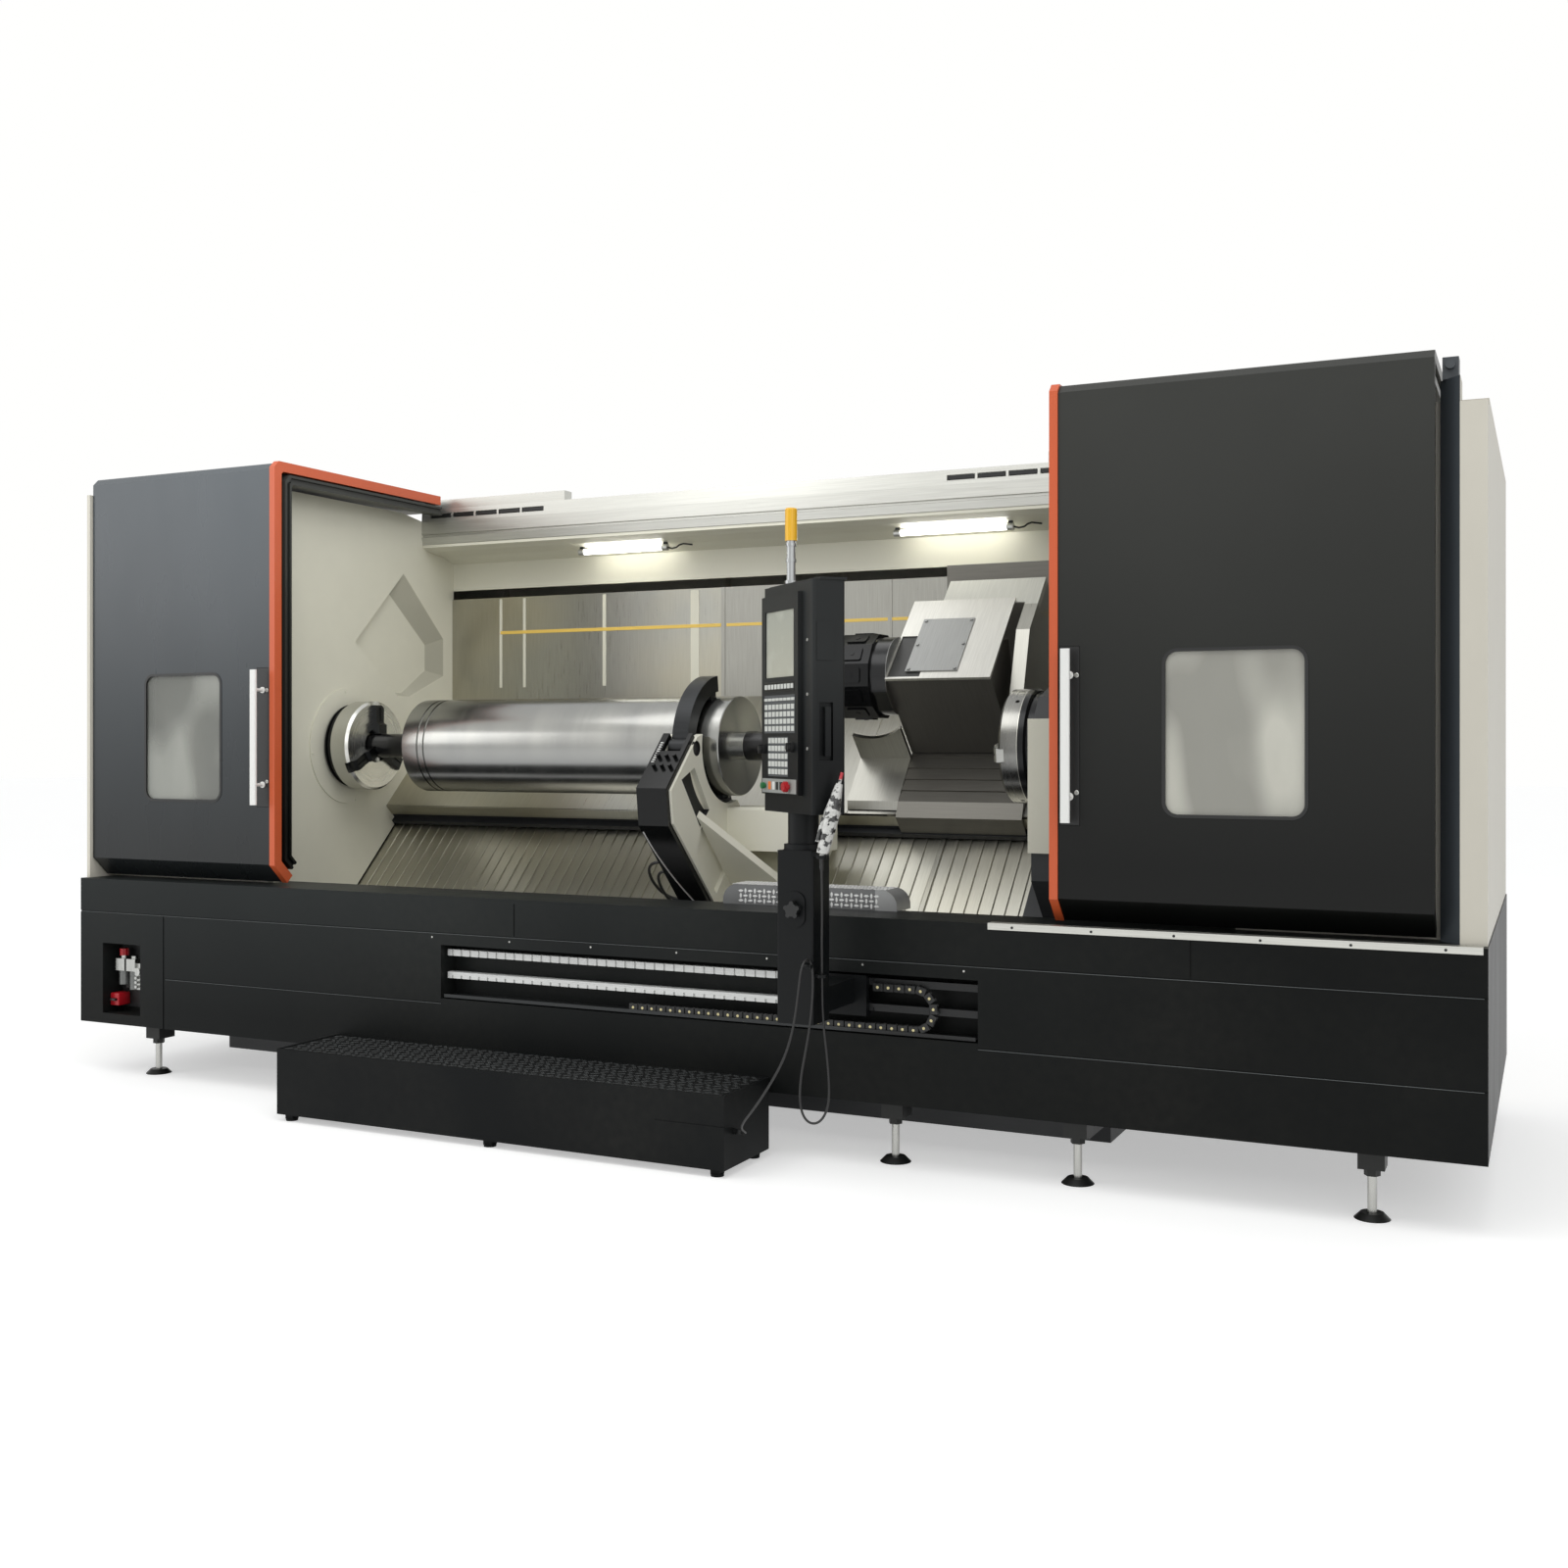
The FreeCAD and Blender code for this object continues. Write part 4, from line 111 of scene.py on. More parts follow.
class Network:
    """A node tree in the making."""

    def __init__(self, tree):
        self.tree = tree

    def node(self, kind, settings=None, sockets=None, out=0):
        """Adds a node, applies its settings, then sets or links its sockets."""
        made = self.tree.nodes.new(kind)
        for key, value in (settings or {}).items():
            setattr(made, key, value)
        for key, value in (sockets or {}).items():
            self.feed(made.inputs[key], value)
        return Value(self, made.outputs[out]) if made.outputs else None

    def feed(self, socket, value):
        if isinstance(value, Value):
            self.tree.links.new(value.socket, socket)
        else:
            socket.default_value = value

    def maths(self, operation, *values, clamp=False):
        settings = {"operation": operation, "use_clamp": clamp}
        return self.node("ShaderNodeMath", settings, dict(enumerate(values)))

    def vector(self, operation, *values, **sockets):
        sockets.update(enumerate(values))
        return self.node("ShaderNodeVectorMath", {"operation": operation}, sockets)

    def parts(self, vector):
        """The x, y and z of a vector."""
        split = self.node("ShaderNodeSeparateXYZ", {}, {0: vector})
        return [Value(self, output) for output in split.socket.node.outputs]

    def joined(self, x=0.0, y=0.0, z=0.0):
        """The vector of an x, a y and a z."""
        return self.node("ShaderNodeCombineXYZ", {}, {0: x, 1: y, 2: z})


def tint(red, green, blue):
    """A colour as seen on a screen, 0 to 255, as the shader takes it."""
    return tuple(((c / 255 + 0.055) / 1.055) ** 2.4 if c > 10 else c / 255 / 12.92
                 for c in (red, green, blue)) + (1.0,)


def scaled(colour, share):
    """A colour darkened or lightened by a share."""
    return tuple(c * share for c in colour[:3]) + (1.0,)


# ---- finishes

class Finish(Network):
    """A surface finish on the object's own coordinates."""

    def __init__(self, name, **constants):
        self.material = bpy.data.materials.new(name)
        self.material.use_nodes = True
        super().__init__(self.material.node_tree)
        self.shader = self.tree.nodes["Principled BSDF"]
        self.place = self.node("ShaderNodeTexCoord", out="Object")
        self.set(**constants)

    def set(self, **sockets):
        for key, value in sockets.items():
            self.feed(self.shader.inputs[key.replace("_", " ")], value)

    def stretched(self, x, y, z):
        return self.node("ShaderNodeMapping", {}, {"Vector": self.place, "Scale": (x, y, z)})

    def noise(self, scale, detail=2.0, at=None):
        """Soft clouds; the scale is about how many there are in a metre."""
        sockets = {"Vector": at or self.place, "Scale": scale, "Detail": detail}
        return self.node("ShaderNodeTexNoise", {}, sockets)

    def spots(self, scale, at=None):
        """Distance to the nearest of many scattered points."""
        return self.node("ShaderNodeTexVoronoi", {}, {"Vector": at or self.place, "Scale": scale})

    def mix(self, factor, low, high):
        return self.node("ShaderNodeMix", {"data_type": "RGBA"}, {0: factor, 6: low, 7: high}, out=2)

    def shades(self, factor, colour, low, high):
        """One colour from one share of its strength to another."""
        return self.mix(factor, scaled(colour, low), scaled(colour, high))

    def bump(self, height, strength, distance):
        sockets = {"Strength": strength, "Distance": distance, "Height": height}
        self.set(Normal=self.node("ShaderNodeBump", {}, sockets))

    def axis_radius(self):
        """(x, distance from the spindle axis, angle round it)."""
        x, y, z = self.parts(self.place)
        across, up = y - AXIS_Y, z - AXIS_Z
        radius = (across * across + up * up).math("SQRT")
        return x, radius, up.math("ARCTAN2", across)


def scratches(finish, scale, share):
    """Thin marks in one slanting direction, on a few places only."""
    lines = finish.noise(scale, 2.0, finish.stretched(1.0, 1.0, 14.0)).between(0.66, 0.72)
    return lines * finish.noise(1.7, 2.0).between(1 - share, 1.08 - share)


PALE = 0.4          # paint whose red is above this shows its patches less


def coat(name, colour, roughness, grain=0.10, dust=0.0, marks=0.0, level=0.5, fades=()):
    """Sprayed paint on sheet or casting: soft patches, wiped smears, orange peel, dust and scratches.

    A fade is an axis (0 to 2), where its colour is full, where it has gone, and that colour.
    """
    finish = Finish(name, Specular_IOR_Level=level)
    patches = finish.noise(0.8, 3.0).between(0.3, 0.7)
    smears = finish.noise(3.5, 4.0, finish.stretched(1.0, 1.0, 0.25))
    shares = (0.965, 1.02) if colour[0] > PALE else (0.88, 1.10)
    base = finish.shades(patches, colour, *shares)
    for axis, full, gone, other in fades:
        reach = finish.parts(finish.place)[axis].between(full, gone)
        base = finish.mix(reach, finish.shades(patches, other, *shares), base)
    if dust:
        settled = finish.noise(26.0, 5.0) * finish.noise(1.3, 2.0).between(0.35, 0.75)
        base = finish.mix(settled * dust, base, tint(128, 124, 114))
    if marks:
        base = finish.mix(scratches(finish, 60.0, marks), base, tint(150, 150, 146))
    finish.set(Base_Color=base, Roughness=roughness - 0.09 + 0.18 * smears)
    finish.bump(finish.noise(650.0, 2.0), grain, 0.0004)
    return finish.material


def brushed(name, colour, roughness, way, gold_reflection=0.0):
    """Metal brushed in one direction: fine streaks, soft cloudy patches, and in them a painted yellow
    reflection.
    """
    finish = Finish(name, Metallic=1.0)
    streaks = finish.noise(7.0, 4.0, finish.stretched(*way))
    clouds = finish.noise(1.6, 3.0)
    base = finish.shades(streaks, colour, 0.80, 1.12)
    # painted reflection: yellow patches laid in the clouds
    base = finish.mix(clouds.between(0.35, 0.75) * gold_reflection, base, tint(214, 196, 140))
    finish.set(Base_Color=base, Roughness=roughness - 0.08 + 0.16 * streaks + 0.08 * clouds)
    finish.bump(streaks, 0.15, 0.0003)
    return finish.material


FACE_SKIN, EDGE_BLUR = 0.0028, 0.0002      # an end face's depth, and how softly it starts: the band painted pale as a reflection


def turned(name, colour, roughness, dark, ends):
    """Steel turned about the spindle axis, blackened outside two ends.

    Tool rings run round it; fans of highlight are painted into its colour, and its right end face is painted
    pale as a reflection, brightest in the fans.
    """
    finish = Finish(name)
    x, radius, angle = finish.axis_radius()
    rings = finish.noise(1.0, 3.0, finish.joined(x * 260.0, radius * 420.0))
    bands = finish.noise(1.0, 2.0, finish.joined(x * 5.0, radius * 9.0))
    fan = (angle * 2.0 + 0.7).math("COSINE").math("ABSOLUTE")
    base = finish.shades(rings, colour, 0.90, 1.06)
    # painted highlight: pale fans over the whole turned surface
    base = finish.mix(fan * 0.35 * bands, base, tint(236, 234, 222))
    plain = within(x, *ends)
    # painted reflection: the right end face and a skin FACE_SKIN deep, painted pale in fans and made less
    # metallic
    faced = x.between(ends[1] - FACE_SKIN - EDGE_BLUR, ends[1] - FACE_SKIN) * plain
    base = finish.mix(faced * (0.25 + 0.75 * fan), base, tint(226, 224, 212))
    base = finish.mix(plain, finish.shades(rings, dark, 0.7, 1.3), base)
    finish.set(Base_Color=base, Roughness=roughness - 0.06 + 0.12 * rings + 0.10 * bands,
               Metallic=0.6 + 0.4 * plain - 0.5 * faced)
    finish.bump(rings, 0.03, 0.0002)
    return finish.material


def within(value, low, high):
    """1 between two values and 0 outside them."""
    return value.between(low - 0.0005, low + 0.0005) * (1.0 - value.between(high - 0.0005, high + 0.0005))


class Place:
    """Where a surface is: x, y, z, and from the spindle axis u up the slope and n out of it."""

    def __init__(self, finish):
        self.x, self.y, self.z = finish.parts(finish.place)
        across, up = self.y - AXIS_Y, self.z - AXIS_Z
        self.u = (across + up) * HALF_ROOT
        self.n = (up - across) * HALF_ROOT


def zoned(name, colour, rough, metal, zones=(), way=(26.0, 1.0, 1.0), level=0.5, streak=0.2):
    """A finish of one colour, roughness and metallic share, with zones that have their own.

    A zone starts with a function that takes a Place and gives 1 inside the zone and 0 outside.
    """
    finish = Finish(name, Specular_IOR_Level=level)
    at = Place(finish)
    streaks = finish.noise(7.0, 4.0, finish.stretched(*way))
    clouds = finish.noise(1.6, 3.0)
    shares = 1 - streak, 1 + streak * 0.6
    base = finish.shades(streaks, colour, *shares)
    for zone, other, roughness, metallic in zones:
        share = zone(at)
        base = finish.mix(share, base, finish.shades(streaks, other, *shares))
        rough = share * (roughness - rough) + rough
        metal = share * (metallic - metal) + metal
    finish.set(Base_Color=base, Roughness=rough - 0.07 + 0.10 * streaks + 0.08 * clouds, Metallic=metal)
    finish.bump(streaks, 0.12, 0.0003)
    return finish.material


def cast_iron(name, colour, roughness):
    """Painted casting: coarse sand texture under the paint."""
    finish = Finish(name)
    sand = finish.noise(220.0, 4.0)
    finish.set(Base_Color=finish.shades(finish.noise(2.0, 3.0), colour, 0.8, 1.2),
               Roughness=roughness - 0.08 + 0.16 * sand)
    finish.bump(sand, 0.35, 0.001)
    return finish.material


def moulded(name, colour, roughness, grain=0.2):
    """Moulded plastic or rubber: fine spark texture, slightly uneven gloss."""
    finish = Finish(name)
    pores = finish.noise(900.0, 3.0)
    finish.set(Base_Color=finish.shades(finish.noise(14.0, 2.0), colour, 0.88, 1.10),
               Roughness=roughness - 0.07 + 0.14 * pores)
    finish.bump(pores, grain, 0.0004)
    return finish.material


def pane(name, colour, alpha):
    """Laminated safety glass: faint smears from wiping, a trace of its edge tint, and soft darker patches
    painted in as the shade of what lies behind it.
    """
    finish = Finish(name, Specular_IOR_Level=0.8)
    wiped = finish.noise(5.0, 4.0, finish.stretched(1.0, 1.0, 0.3))
    # painted shade: soft patches darkened to stand for what lies behind the pane
    behind = finish.noise(2.3, 1.0, finish.stretched(1.6, 1.0, 0.8)).between(0.42, 0.60)
    base = finish.mix(behind, scaled(colour, 0.62), finish.shades(wiped, colour, 1.0, 1.25))
    finish.set(Base_Color=base, Roughness=0.02 + 0.10 * wiped, Alpha=alpha + 0.10 * wiped)
    return finish.material


def glowing(name, colour, strength):
    """A lit diffuser with faint ribs along it."""
    finish = Finish(name, Roughness=0.4, Emission_Strength=strength)
    ribs = finish.noise(160.0, 1.0, finish.stretched(1.0, 0.1, 0.1))
    finish.set(Base_Color=finish.shades(ribs, colour, 0.8, 1.0),
               Emission_Color=finish.shades(ribs, colour, 0.92, 1.0))
    return finish.material


GUN_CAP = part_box("air_gun")[1][2] - 0.028       # where the gun's red cap starts
SCREEN_Z = (1.87, 2.14)


def wrapped_film(name):
    """Crinkled clear film over a grey and black body."""
    finish = Finish(name, Coat_Weight=0.6, Coat_Roughness=0.08)
    folds = finish.spots(90.0, finish.stretched(1.0, 1.0, 0.7))
    dark = finish.noise(38.0, 3.0).between(0.50, 0.56)
    height = finish.parts(finish.place)[2]
    body = finish.mix(dark, tint(206, 206, 202), tint(28, 28, 28))
    finish.set(Base_Color=finish.mix(height.between(GUN_CAP, GUN_CAP + 0.004), body, tint(186, 28, 44)),
               Roughness=0.16 + 0.3 * folds)
    finish.bump(folds, 0.9, 0.004)
    return finish.material


def screen_glass(name):
    """Sleeping display: pale grey-green sheet with a soft vertical fade and smudges."""
    finish = Finish(name, Coat_Weight=1.0, Coat_Roughness=0.05)
    height = finish.parts(finish.place)[2].between(*SCREEN_Z)
    smudge = finish.noise(9.0, 4.0)
    pale = finish.mix(height, tint(186, 186, 172), tint(166, 170, 160))
    finish.set(Base_Color=finish.mix(smudge.between(0.45, 0.8) * 0.5, pale, tint(214, 214, 204)),
               Roughness=0.12 + 0.2 * smudge)
    return finish.material


CREAM = tint(222, 220, 203)
INK = tint(22, 23, 24)
# the doors' colours at their feet: painted shade, each door growing darker towards the bottom
LEFT_DOOR_SHADED_FOOT, RIGHT_DOOR_SHADED_FOOT = tint(32, 35, 36), tint(12, 13, 12)
FINISHES = {made.name.partition(".")[0]: made for made in (     # Blender may number a name that is taken
    cast_iron("casting", tint(34, 36, 38), 0.50),
    # skirt: its fades are painted shade, darker towards the bottom and towards the right
    coat("skirt_paint", tint(40, 43, 43), 0.40, dust=0.05, marks=0.03, level=0.10,
         fades=((2, 0.35, 0.95, tint(18, 20, 20)), (0, 2.6, -1.6, tint(11, 13, 13)))),
    coat("cabin_paint", tint(222, 218, 204), 0.45),
    # door paint: painted shade, darker from 2.9 m down to 1.2 m
    coat("door_paint", tint(56, 57, 54), 0.34, level=0.22, fades=((2, 1.2, 2.9, RIGHT_DOOR_SHADED_FOOT),)),
    coat("orange_paint", tint(206, 92, 50), 0.38),
    coat("cream_paint", CREAM, 0.40, dust=0.04),
    coat("white_paint", tint(240, 240, 236), 0.35),
    coat("pendant_paint", tint(42, 44, 44), 0.40, grain=0.3, level=0.18,
         fades=((2, 1.62, 1.95, tint(13, 15, 16)),)),
    coat("step_paint", tint(17, 19, 20), 0.5, dust=0.08, marks=0.16, level=0.10),
    zoned("tread", tint(238, 238, 236), 0.32, 0.35, way=(1.0, 12.0, 1.0), streak=0.08),
    brushed("aluminium", tint(200, 200, 194), 0.38, (0.6, 30.0, 30.0)),
    brushed("stainless", tint(170, 170, 163), 0.27, (26.0, 1.0, 1.0), gold_reflection=0.25),
    brushed("ground_steel", tint(196, 196, 192), 0.28, (0.8, 30.0, 30.0)),
    turned("turned_steel", tint(142, 143, 142), 0.17, tint(44, 44, 44), (-1.656, 0.1405)),
    brushed("dark_steel", tint(54, 55, 56), 0.30, (1.0, 18.0, 18.0)),
    moulded("black_plastic", tint(20, 21, 21), 0.38),
    moulded("white_plastic", tint(224, 224, 220), 0.42),
    moulded("red_plastic", tint(176, 24, 34), 0.3),
    moulded("green_plastic", tint(30, 110, 62), 0.3),
    zoned("lamp_plastic", tint(176, 178, 178), 0.22, 0.7, [
        (lambda at: at.z.between(2.414, 2.416), tint(248, 190, 40), 0.25, 0.0)],      # lens
        way=(60.0, 60.0, 0.5), streak=0.45),
    wrapped_film("wrapped_plastic"),
    moulded("hose_rubber", tint(26, 26, 26), 0.45, grain=0.6),
    pane("window_glass", tint(206, 205, 193), 0.66),
)}
KEYS = moulded("key_caps", tint(212, 214, 208), 0.4)
SCREEN = screen_glass("sleeping_screen")
TUBE_LIGHT = glowing("tube_light", (1.0, 0.99, 0.95, 1.0), 9.0)
YELLOW = coat("yellow_paint", tint(236, 200, 98), 0.4)
ORANGE_KEY = moulded("orange_key", tint(232, 120, 50), 0.35)
PANEL_GREY = coat("panel_grey", tint(74, 78, 80), 0.45, grain=0.2)
STRIP_GREY = coat("strip_grey", tint(150, 152, 148), 0.45, grain=0.2)
# light grey of the strips in the skirt's seams: a painted highlight on their edges
SEAM_HIGHLIGHT = coat("seam_grey", tint(104, 108, 108), 0.4, level=0.2)
# the mat's studs: the same rubber as its sheet, painted lighter as glints
MAT_STUD_GLINT = moulded("mat_rubber", tint(62, 64, 64), 0.35, grain=0.5)
LAMELLA_STEEL = brushed("lamella_steel", tint(192, 191, 181), 0.30, (30.0, 1.0, 1.0), gold_reflection=0.12)
# left door: a lighter, bluer copy of the door paint with its sheen painted in, strongest at the top and
# fading to a darker foot
LEFT_DOOR = coat("left_door_paint", tint(76, 83, 88), 0.28, level=0.35,
                 fades=((2, 1.1, 2.9, LEFT_DOOR_SHADED_FOOT),))
OWN_FINISH = {
    "left_door_panel": LEFT_DOOR,
    # left window: a darker copy of the window glass, painted shade
    "left_door_window": pane("left_glass", tint(176, 178, 170), 0.45),
    # painted reflection: the ram's body darkened for the dark it reflects, its top plate lightened for the
    # light above
    "tool_ram": zoned("ram_steel", tint(88, 86, 81), 0.42, 0.5, [
        (lambda at: at.n.between(0.102, 0.103), tint(196, 195, 189), 0.34, 1.0),      # top plate, painted lighter as a reflection of the light above
        (lambda at: within(at.x, 0.757, 0.911) * within(at.u, 0.317, 0.591) * within(at.n, 0.10, 0.1125),
         tint(60, 60, 59), 0.45, 0.3),                                                # its inset
        (lambda at: at.n.between(0.1175, 0.118), tint(146, 147, 145), 0.38, 0.7),     # cover plate
        (lambda at: 1.0 - at.x.between(0.7493, 0.7497), INK, 0.2, 0.3)]),             # turret seat
    "saddle_covers": zoned("saddle_sheet", tint(160, 159, 152), 0.28, 1.0, [          # roof behind the ram
        (lambda at: at.u.between(0.815, 0.816) * at.n.between(0.06, 0.061), tint(188, 188, 178), 0.4, 0.0)]),
    "carriage_saddle": zoned("saddle_steel", tint(112, 110, 104), 0.4, 0.8, way=(1.0, 20.0, 20.0)),
    "main_chuck": turned("chuck_steel", tint(196, 196, 192), 0.2, tint(24, 25, 26), (-2.107, -1.9)),
    "work_lamps": zoned("lamp_aluminium", tint(196, 197, 194), 0.35, 0.9, [
        (lambda at: at.z.between(2.6825, 2.683), INK, 0.4, 0.0)]),                    # tops of the arms
    "turret_disc": zoned("turret_black", tint(17, 18, 19), 0.16, 0.2, way=(1.0, 18.0, 18.0), level=0.3),
    "main_headstock": FINISHES["dark_steel"],
    "pendant_rails": zoned("rail_white", tint(222, 223, 221), 0.4, 0.25, [
        (lambda at: 1.0 - at.z.between(0.5595, 0.5600), tint(54, 56, 57), 0.4, 0.5),  # chain's shelf
        (lambda at: at.x.between(0.96, 0.962), INK, 0.4, 0.2)],                       # right of the pendant, painted black as the shade it lies in
        way=(0.6, 20.0, 20.0)),
    "tread_plate": zoned("tread_ground", tint(118, 119, 119), 0.36, 0.5, [
        (lambda at: 1.0 - within(at.x, 0.250, 0.965), tint(168, 169, 168), 0.34, 0.5)],       # right end
        way=(1.0, 12.0, 1.0)),
    "steady_cover": zoned("cover_black", tint(17, 18, 18), 0.18, 0.0, way=(1.0, 6.0, 6.0), level=0.22),
    "steady_frame": zoned("steady_zones", tint(236, 234, 218), 0.40, 0.0, [
        (lambda at: within(at.x, 0.0130, 0.0385) * within(at.u, -0.474, -0.300) * within(at.n, -0.100, 0.235)
         * (at.u * at.u + at.n * at.n).between(0.1180, 0.1185), INK, 0.5, 0.0),       # pockets, painted black as their shade
        (lambda at: within(at.x, 0.0290, 0.0385) * (1.0 - ((at.u + 0.2267) * (at.u + 0.2267)
         + (at.n - 0.2114) * (at.n - 0.2114)).between(0.00120, 0.00125)), INK, 0.4, 0.0)],    # hole round a pin, painted black as its shade
        way=(1.0, 1.0, 1.0), streak=0.05),
    "left_inner_wall": zoned("wall_zones", CREAM, 0.40, 0.0, [
        (lambda at: within(at.x, -2.2032, -2.1706), tint(178, 176, 160), 0.4, 0.0)],  # pocket's and hole's bevels, painted darker as their shade
        way=(1.0, 1.0, 1.0), streak=0.05),
    "levelling_feet": zoned("foot_metal", tint(34, 35, 34), 0.42, 0.4, [
        (lambda at: within(at.z, 0.0225, 0.150), tint(186, 186, 182), 0.25, 1.0)]),   # stems
    "service_unit": zoned("service_metal", tint(186, 187, 184), 0.24, 1.0, [
        (lambda at: at.y.between(-1.0868, -1.0862), INK, 0.5, 0.0),                   # back plate
        (lambda at: within(at.z, 0.42, 0.515) * within(at.x, -3.06, -2.92),           # bowls
         tint(120, 122, 120), 0.2, 0.4)], streak=0.5),
    "right_cabin": zoned("cabin_zones", tint(204, 200, 187), 0.42, 0.0, [
        (lambda at: (1.0 - at.y.between(-1.0010, -1.0006)) * (1.0 - at.x.between(3.160, 3.1604)),
         tint(62, 67, 71), 0.38, 0.0)], way=(1.0, 1.0, 0.4), streak=0.06),            # slanted corner
    **{f"sub_jaw_{i}": FINISHES["ground_steel"] for i in (1, 2, 3)},
    "sub_chuck": turned("sub_chuck_steel", tint(118, 118, 117), 0.2, tint(34, 35, 36), (1.30, 1.478)),
}


def dress_nodes():
    """Every CAD node that stays gets its own finish or its slot's."""
    for row in frame["record"]["subparts"]:
        node = frame["nodes"][row["node"]]
        for slot in node.material_slots:
            slot.material = OWN_FINISH.get(row["node"], FINISHES[row["material_slot"]])


# ---- making pieces

def put_in_scene(name, data):
    """A new object, linked into the scene."""
    made = bpy.data.objects.new(name, data)
    bpy.context.scene.collection.objects.link(made)
    return made


def curve(name, kind, points):
    """A curve of one open spline: POLY for straight runs, NURBS for a smooth line."""
    line = bpy.data.curves.new(name, "CURVE")
    line.dimensions = "3D"
    spline = line.splines.new(kind)
    spline.points.add(len(points) - 1)
    for point, place in zip(spline.points, points):
        point.co = (*place, 1.0)
    return put_in_scene(name, line)


def as_mesh(thing):
    """A plain mesh of an object as its modifiers and curve settings shape it."""
    bpy.context.view_layer.update()
    return bpy.data.meshes.new_from_object(thing.evaluated_get(bpy.context.evaluated_depsgraph_get()))


def piece(name, mesh, finish, body, smooth=35, replaces=()):
    """A mesh as a piece: its material or the name of one, its edges, and the body that it rides on."""
    finish = FINISHES.get(finish, finish)
    mesh.materials.clear()
    mesh.materials.append(finish)
    mesh.shade_smooth()
    mesh.set_sharp_from_angle(angle=math.radians(smooth))
    made = put_in_scene(name, mesh)
    if replaces:
        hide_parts(*replaces)
    if body:
        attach(made, body)
    return made


class Form:
    """A piece in the making: closed solids gathered in one mesh."""

    def __init__(self):
        self.mesh = bmesh.new()

    def prism(self, outline, way, bevel=0.0, steps=1):
        """A flat outline drawn out along a vector, with its edges rounded."""
        low = [self.mesh.verts.new(point) for point in outline]
        high = [self.mesh.verts.new(vert.co + Vector(way)) for vert in low]
        faces = [self.mesh.faces.new(low), self.mesh.faces.new(high)] + self.walls(low, high)
        bmesh.ops.recalc_face_normals(self.mesh, faces=faces)
        if bevel:
            edges = list({edge for face in faces for edge in face.edges})
            bmesh.ops.bevel(self.mesh, geom=edges, offset=bevel, segments=steps, profile=0.5,
                            affect="EDGES", clamp_overlap=True)
        return self

    def box(self, x, y, z, bevel=0.0, steps=1):
        corners = [(x[0], y[0], z[0]), (x[1], y[0], z[0]), (x[1], y[1], z[0]), (x[0], y[1], z[0])]
        return self.prism(corners, (0, 0, z[1] - z[0]), bevel, steps)

    def walls(self, here, there):
        """Four-sided faces between two loops of as many points each."""
        faces = []
        for i in range(len(here)):
            j = (i + 1) % len(here)
            faces.append(self.mesh.faces.new((here[i], here[j], there[j], there[i])))
        return faces

    def circle(self, centre, across, other, radius, sides):
        """A loop of points round a centre, in the plane of two directions."""
        turns = [2 * math.pi * k / sides for k in range(sides)]
        return [self.mesh.verts.new(centre + (across * math.cos(a) + other * math.sin(a)) * radius)
                for a in turns]

    def skin(self, rings):
        """Closes a row of loops into a solid."""
        self.mesh.faces.new(rings[0][::-1])
        self.mesh.faces.new(rings[-1])
        for here, there in zip(rings, rings[1:]):
            self.walls(here, there)
        return self

    def turned(self, start, way, profile, sides=24):
        """(distance along, radius) corners turned about an axis, closed at both ends."""
        axis = Vector(way).normalized()
        across = axis.orthogonal().normalized()
        other = axis.cross(across)
        return self.skin([self.circle(Vector(start) + axis * along, across, other, radius, sides)
                          for along, radius in profile])

    def pipe(self, points, radius, sides=10):
        """A round pipe through points, kept from twisting."""
        points = [Vector(p) for p in points]
        across = (points[1] - points[0]).orthogonal().normalized()
        rings = []
        for i, point in enumerate(points):
            along = (points[min(i + 1, len(points) - 1)] - points[max(i - 1, 0)]).normalized()
            across = (across - along * across.dot(along)).normalized()
            rings.append(self.circle(point, across, along.cross(across), radius, sides))
        return self.skin(rings)

    def ring(self, outer, inner, way):
        """A closed frame between two outlines of as many points each."""
        way = Vector(way)
        loops = [[self.mesh.verts.new(Vector(p) + shift) for p in outline]
                 for outline, shift in ((outer, Vector()), (inner, Vector()), (inner, way), (outer, way))]
        faces = []
        for here, there in zip(loops, loops[1:] + loops[:1]):
            faces += self.walls(here, there)
        bmesh.ops.recalc_face_normals(self.mesh, faces=faces)
        return self

    def turn(self, matrix):
        self.mesh.transform(matrix)
        return self

    def mesh_data(self, name):
        data = bpy.data.meshes.new(name)
        self.mesh.to_mesh(data)
        self.mesh.free()
        return data

    def done(self, name, finish, body, smooth=35, replaces=()):
        return piece(name, self.mesh_data(name), finish, body, smooth, replaces)


ARC_STEPS = 8           # runs in each round corner


def rounded_rectangle(x, z, radius, y):
    """Points of a rectangle with round corners, in a plane of constant y."""
    points = []
    for cx, cz, start in ((x[1] - radius, z[1] - radius, 0), (x[0] + radius, z[1] - radius, 90),
                          (x[0] + radius, z[0] + radius, 180), (x[1] - radius, z[0] + radius, 270)):
        for k in range(ARC_STEPS + 1):
            a = math.radians(start + 90 * k / ARC_STEPS)
            points.append((cx + radius * math.cos(a), y, cz + radius * math.sin(a)))
    return points


# ---- pieces set out by Geometry Nodes

def new_group(name, **inputs):
    """An empty Geometry Nodes tree, its inputs' names given by kind; gives its network and its inputs."""
    tree = bpy.data.node_groups.new(name, "GeometryNodeTree")
    tree.interface.new_socket("Geometry", in_out="OUTPUT", socket_type="NodeSocketGeometry")
    for kind, keys in inputs.items():
        for key in keys:
            tree.interface.new_socket(key, in_out="INPUT", socket_type="NodeSocket" + kind)
    network = Network(tree)
    entry = tree.nodes.new("NodeGroupInput")
    return network, {key: Value(network, entry.outputs[key]) for keys in inputs.values() for key in keys}


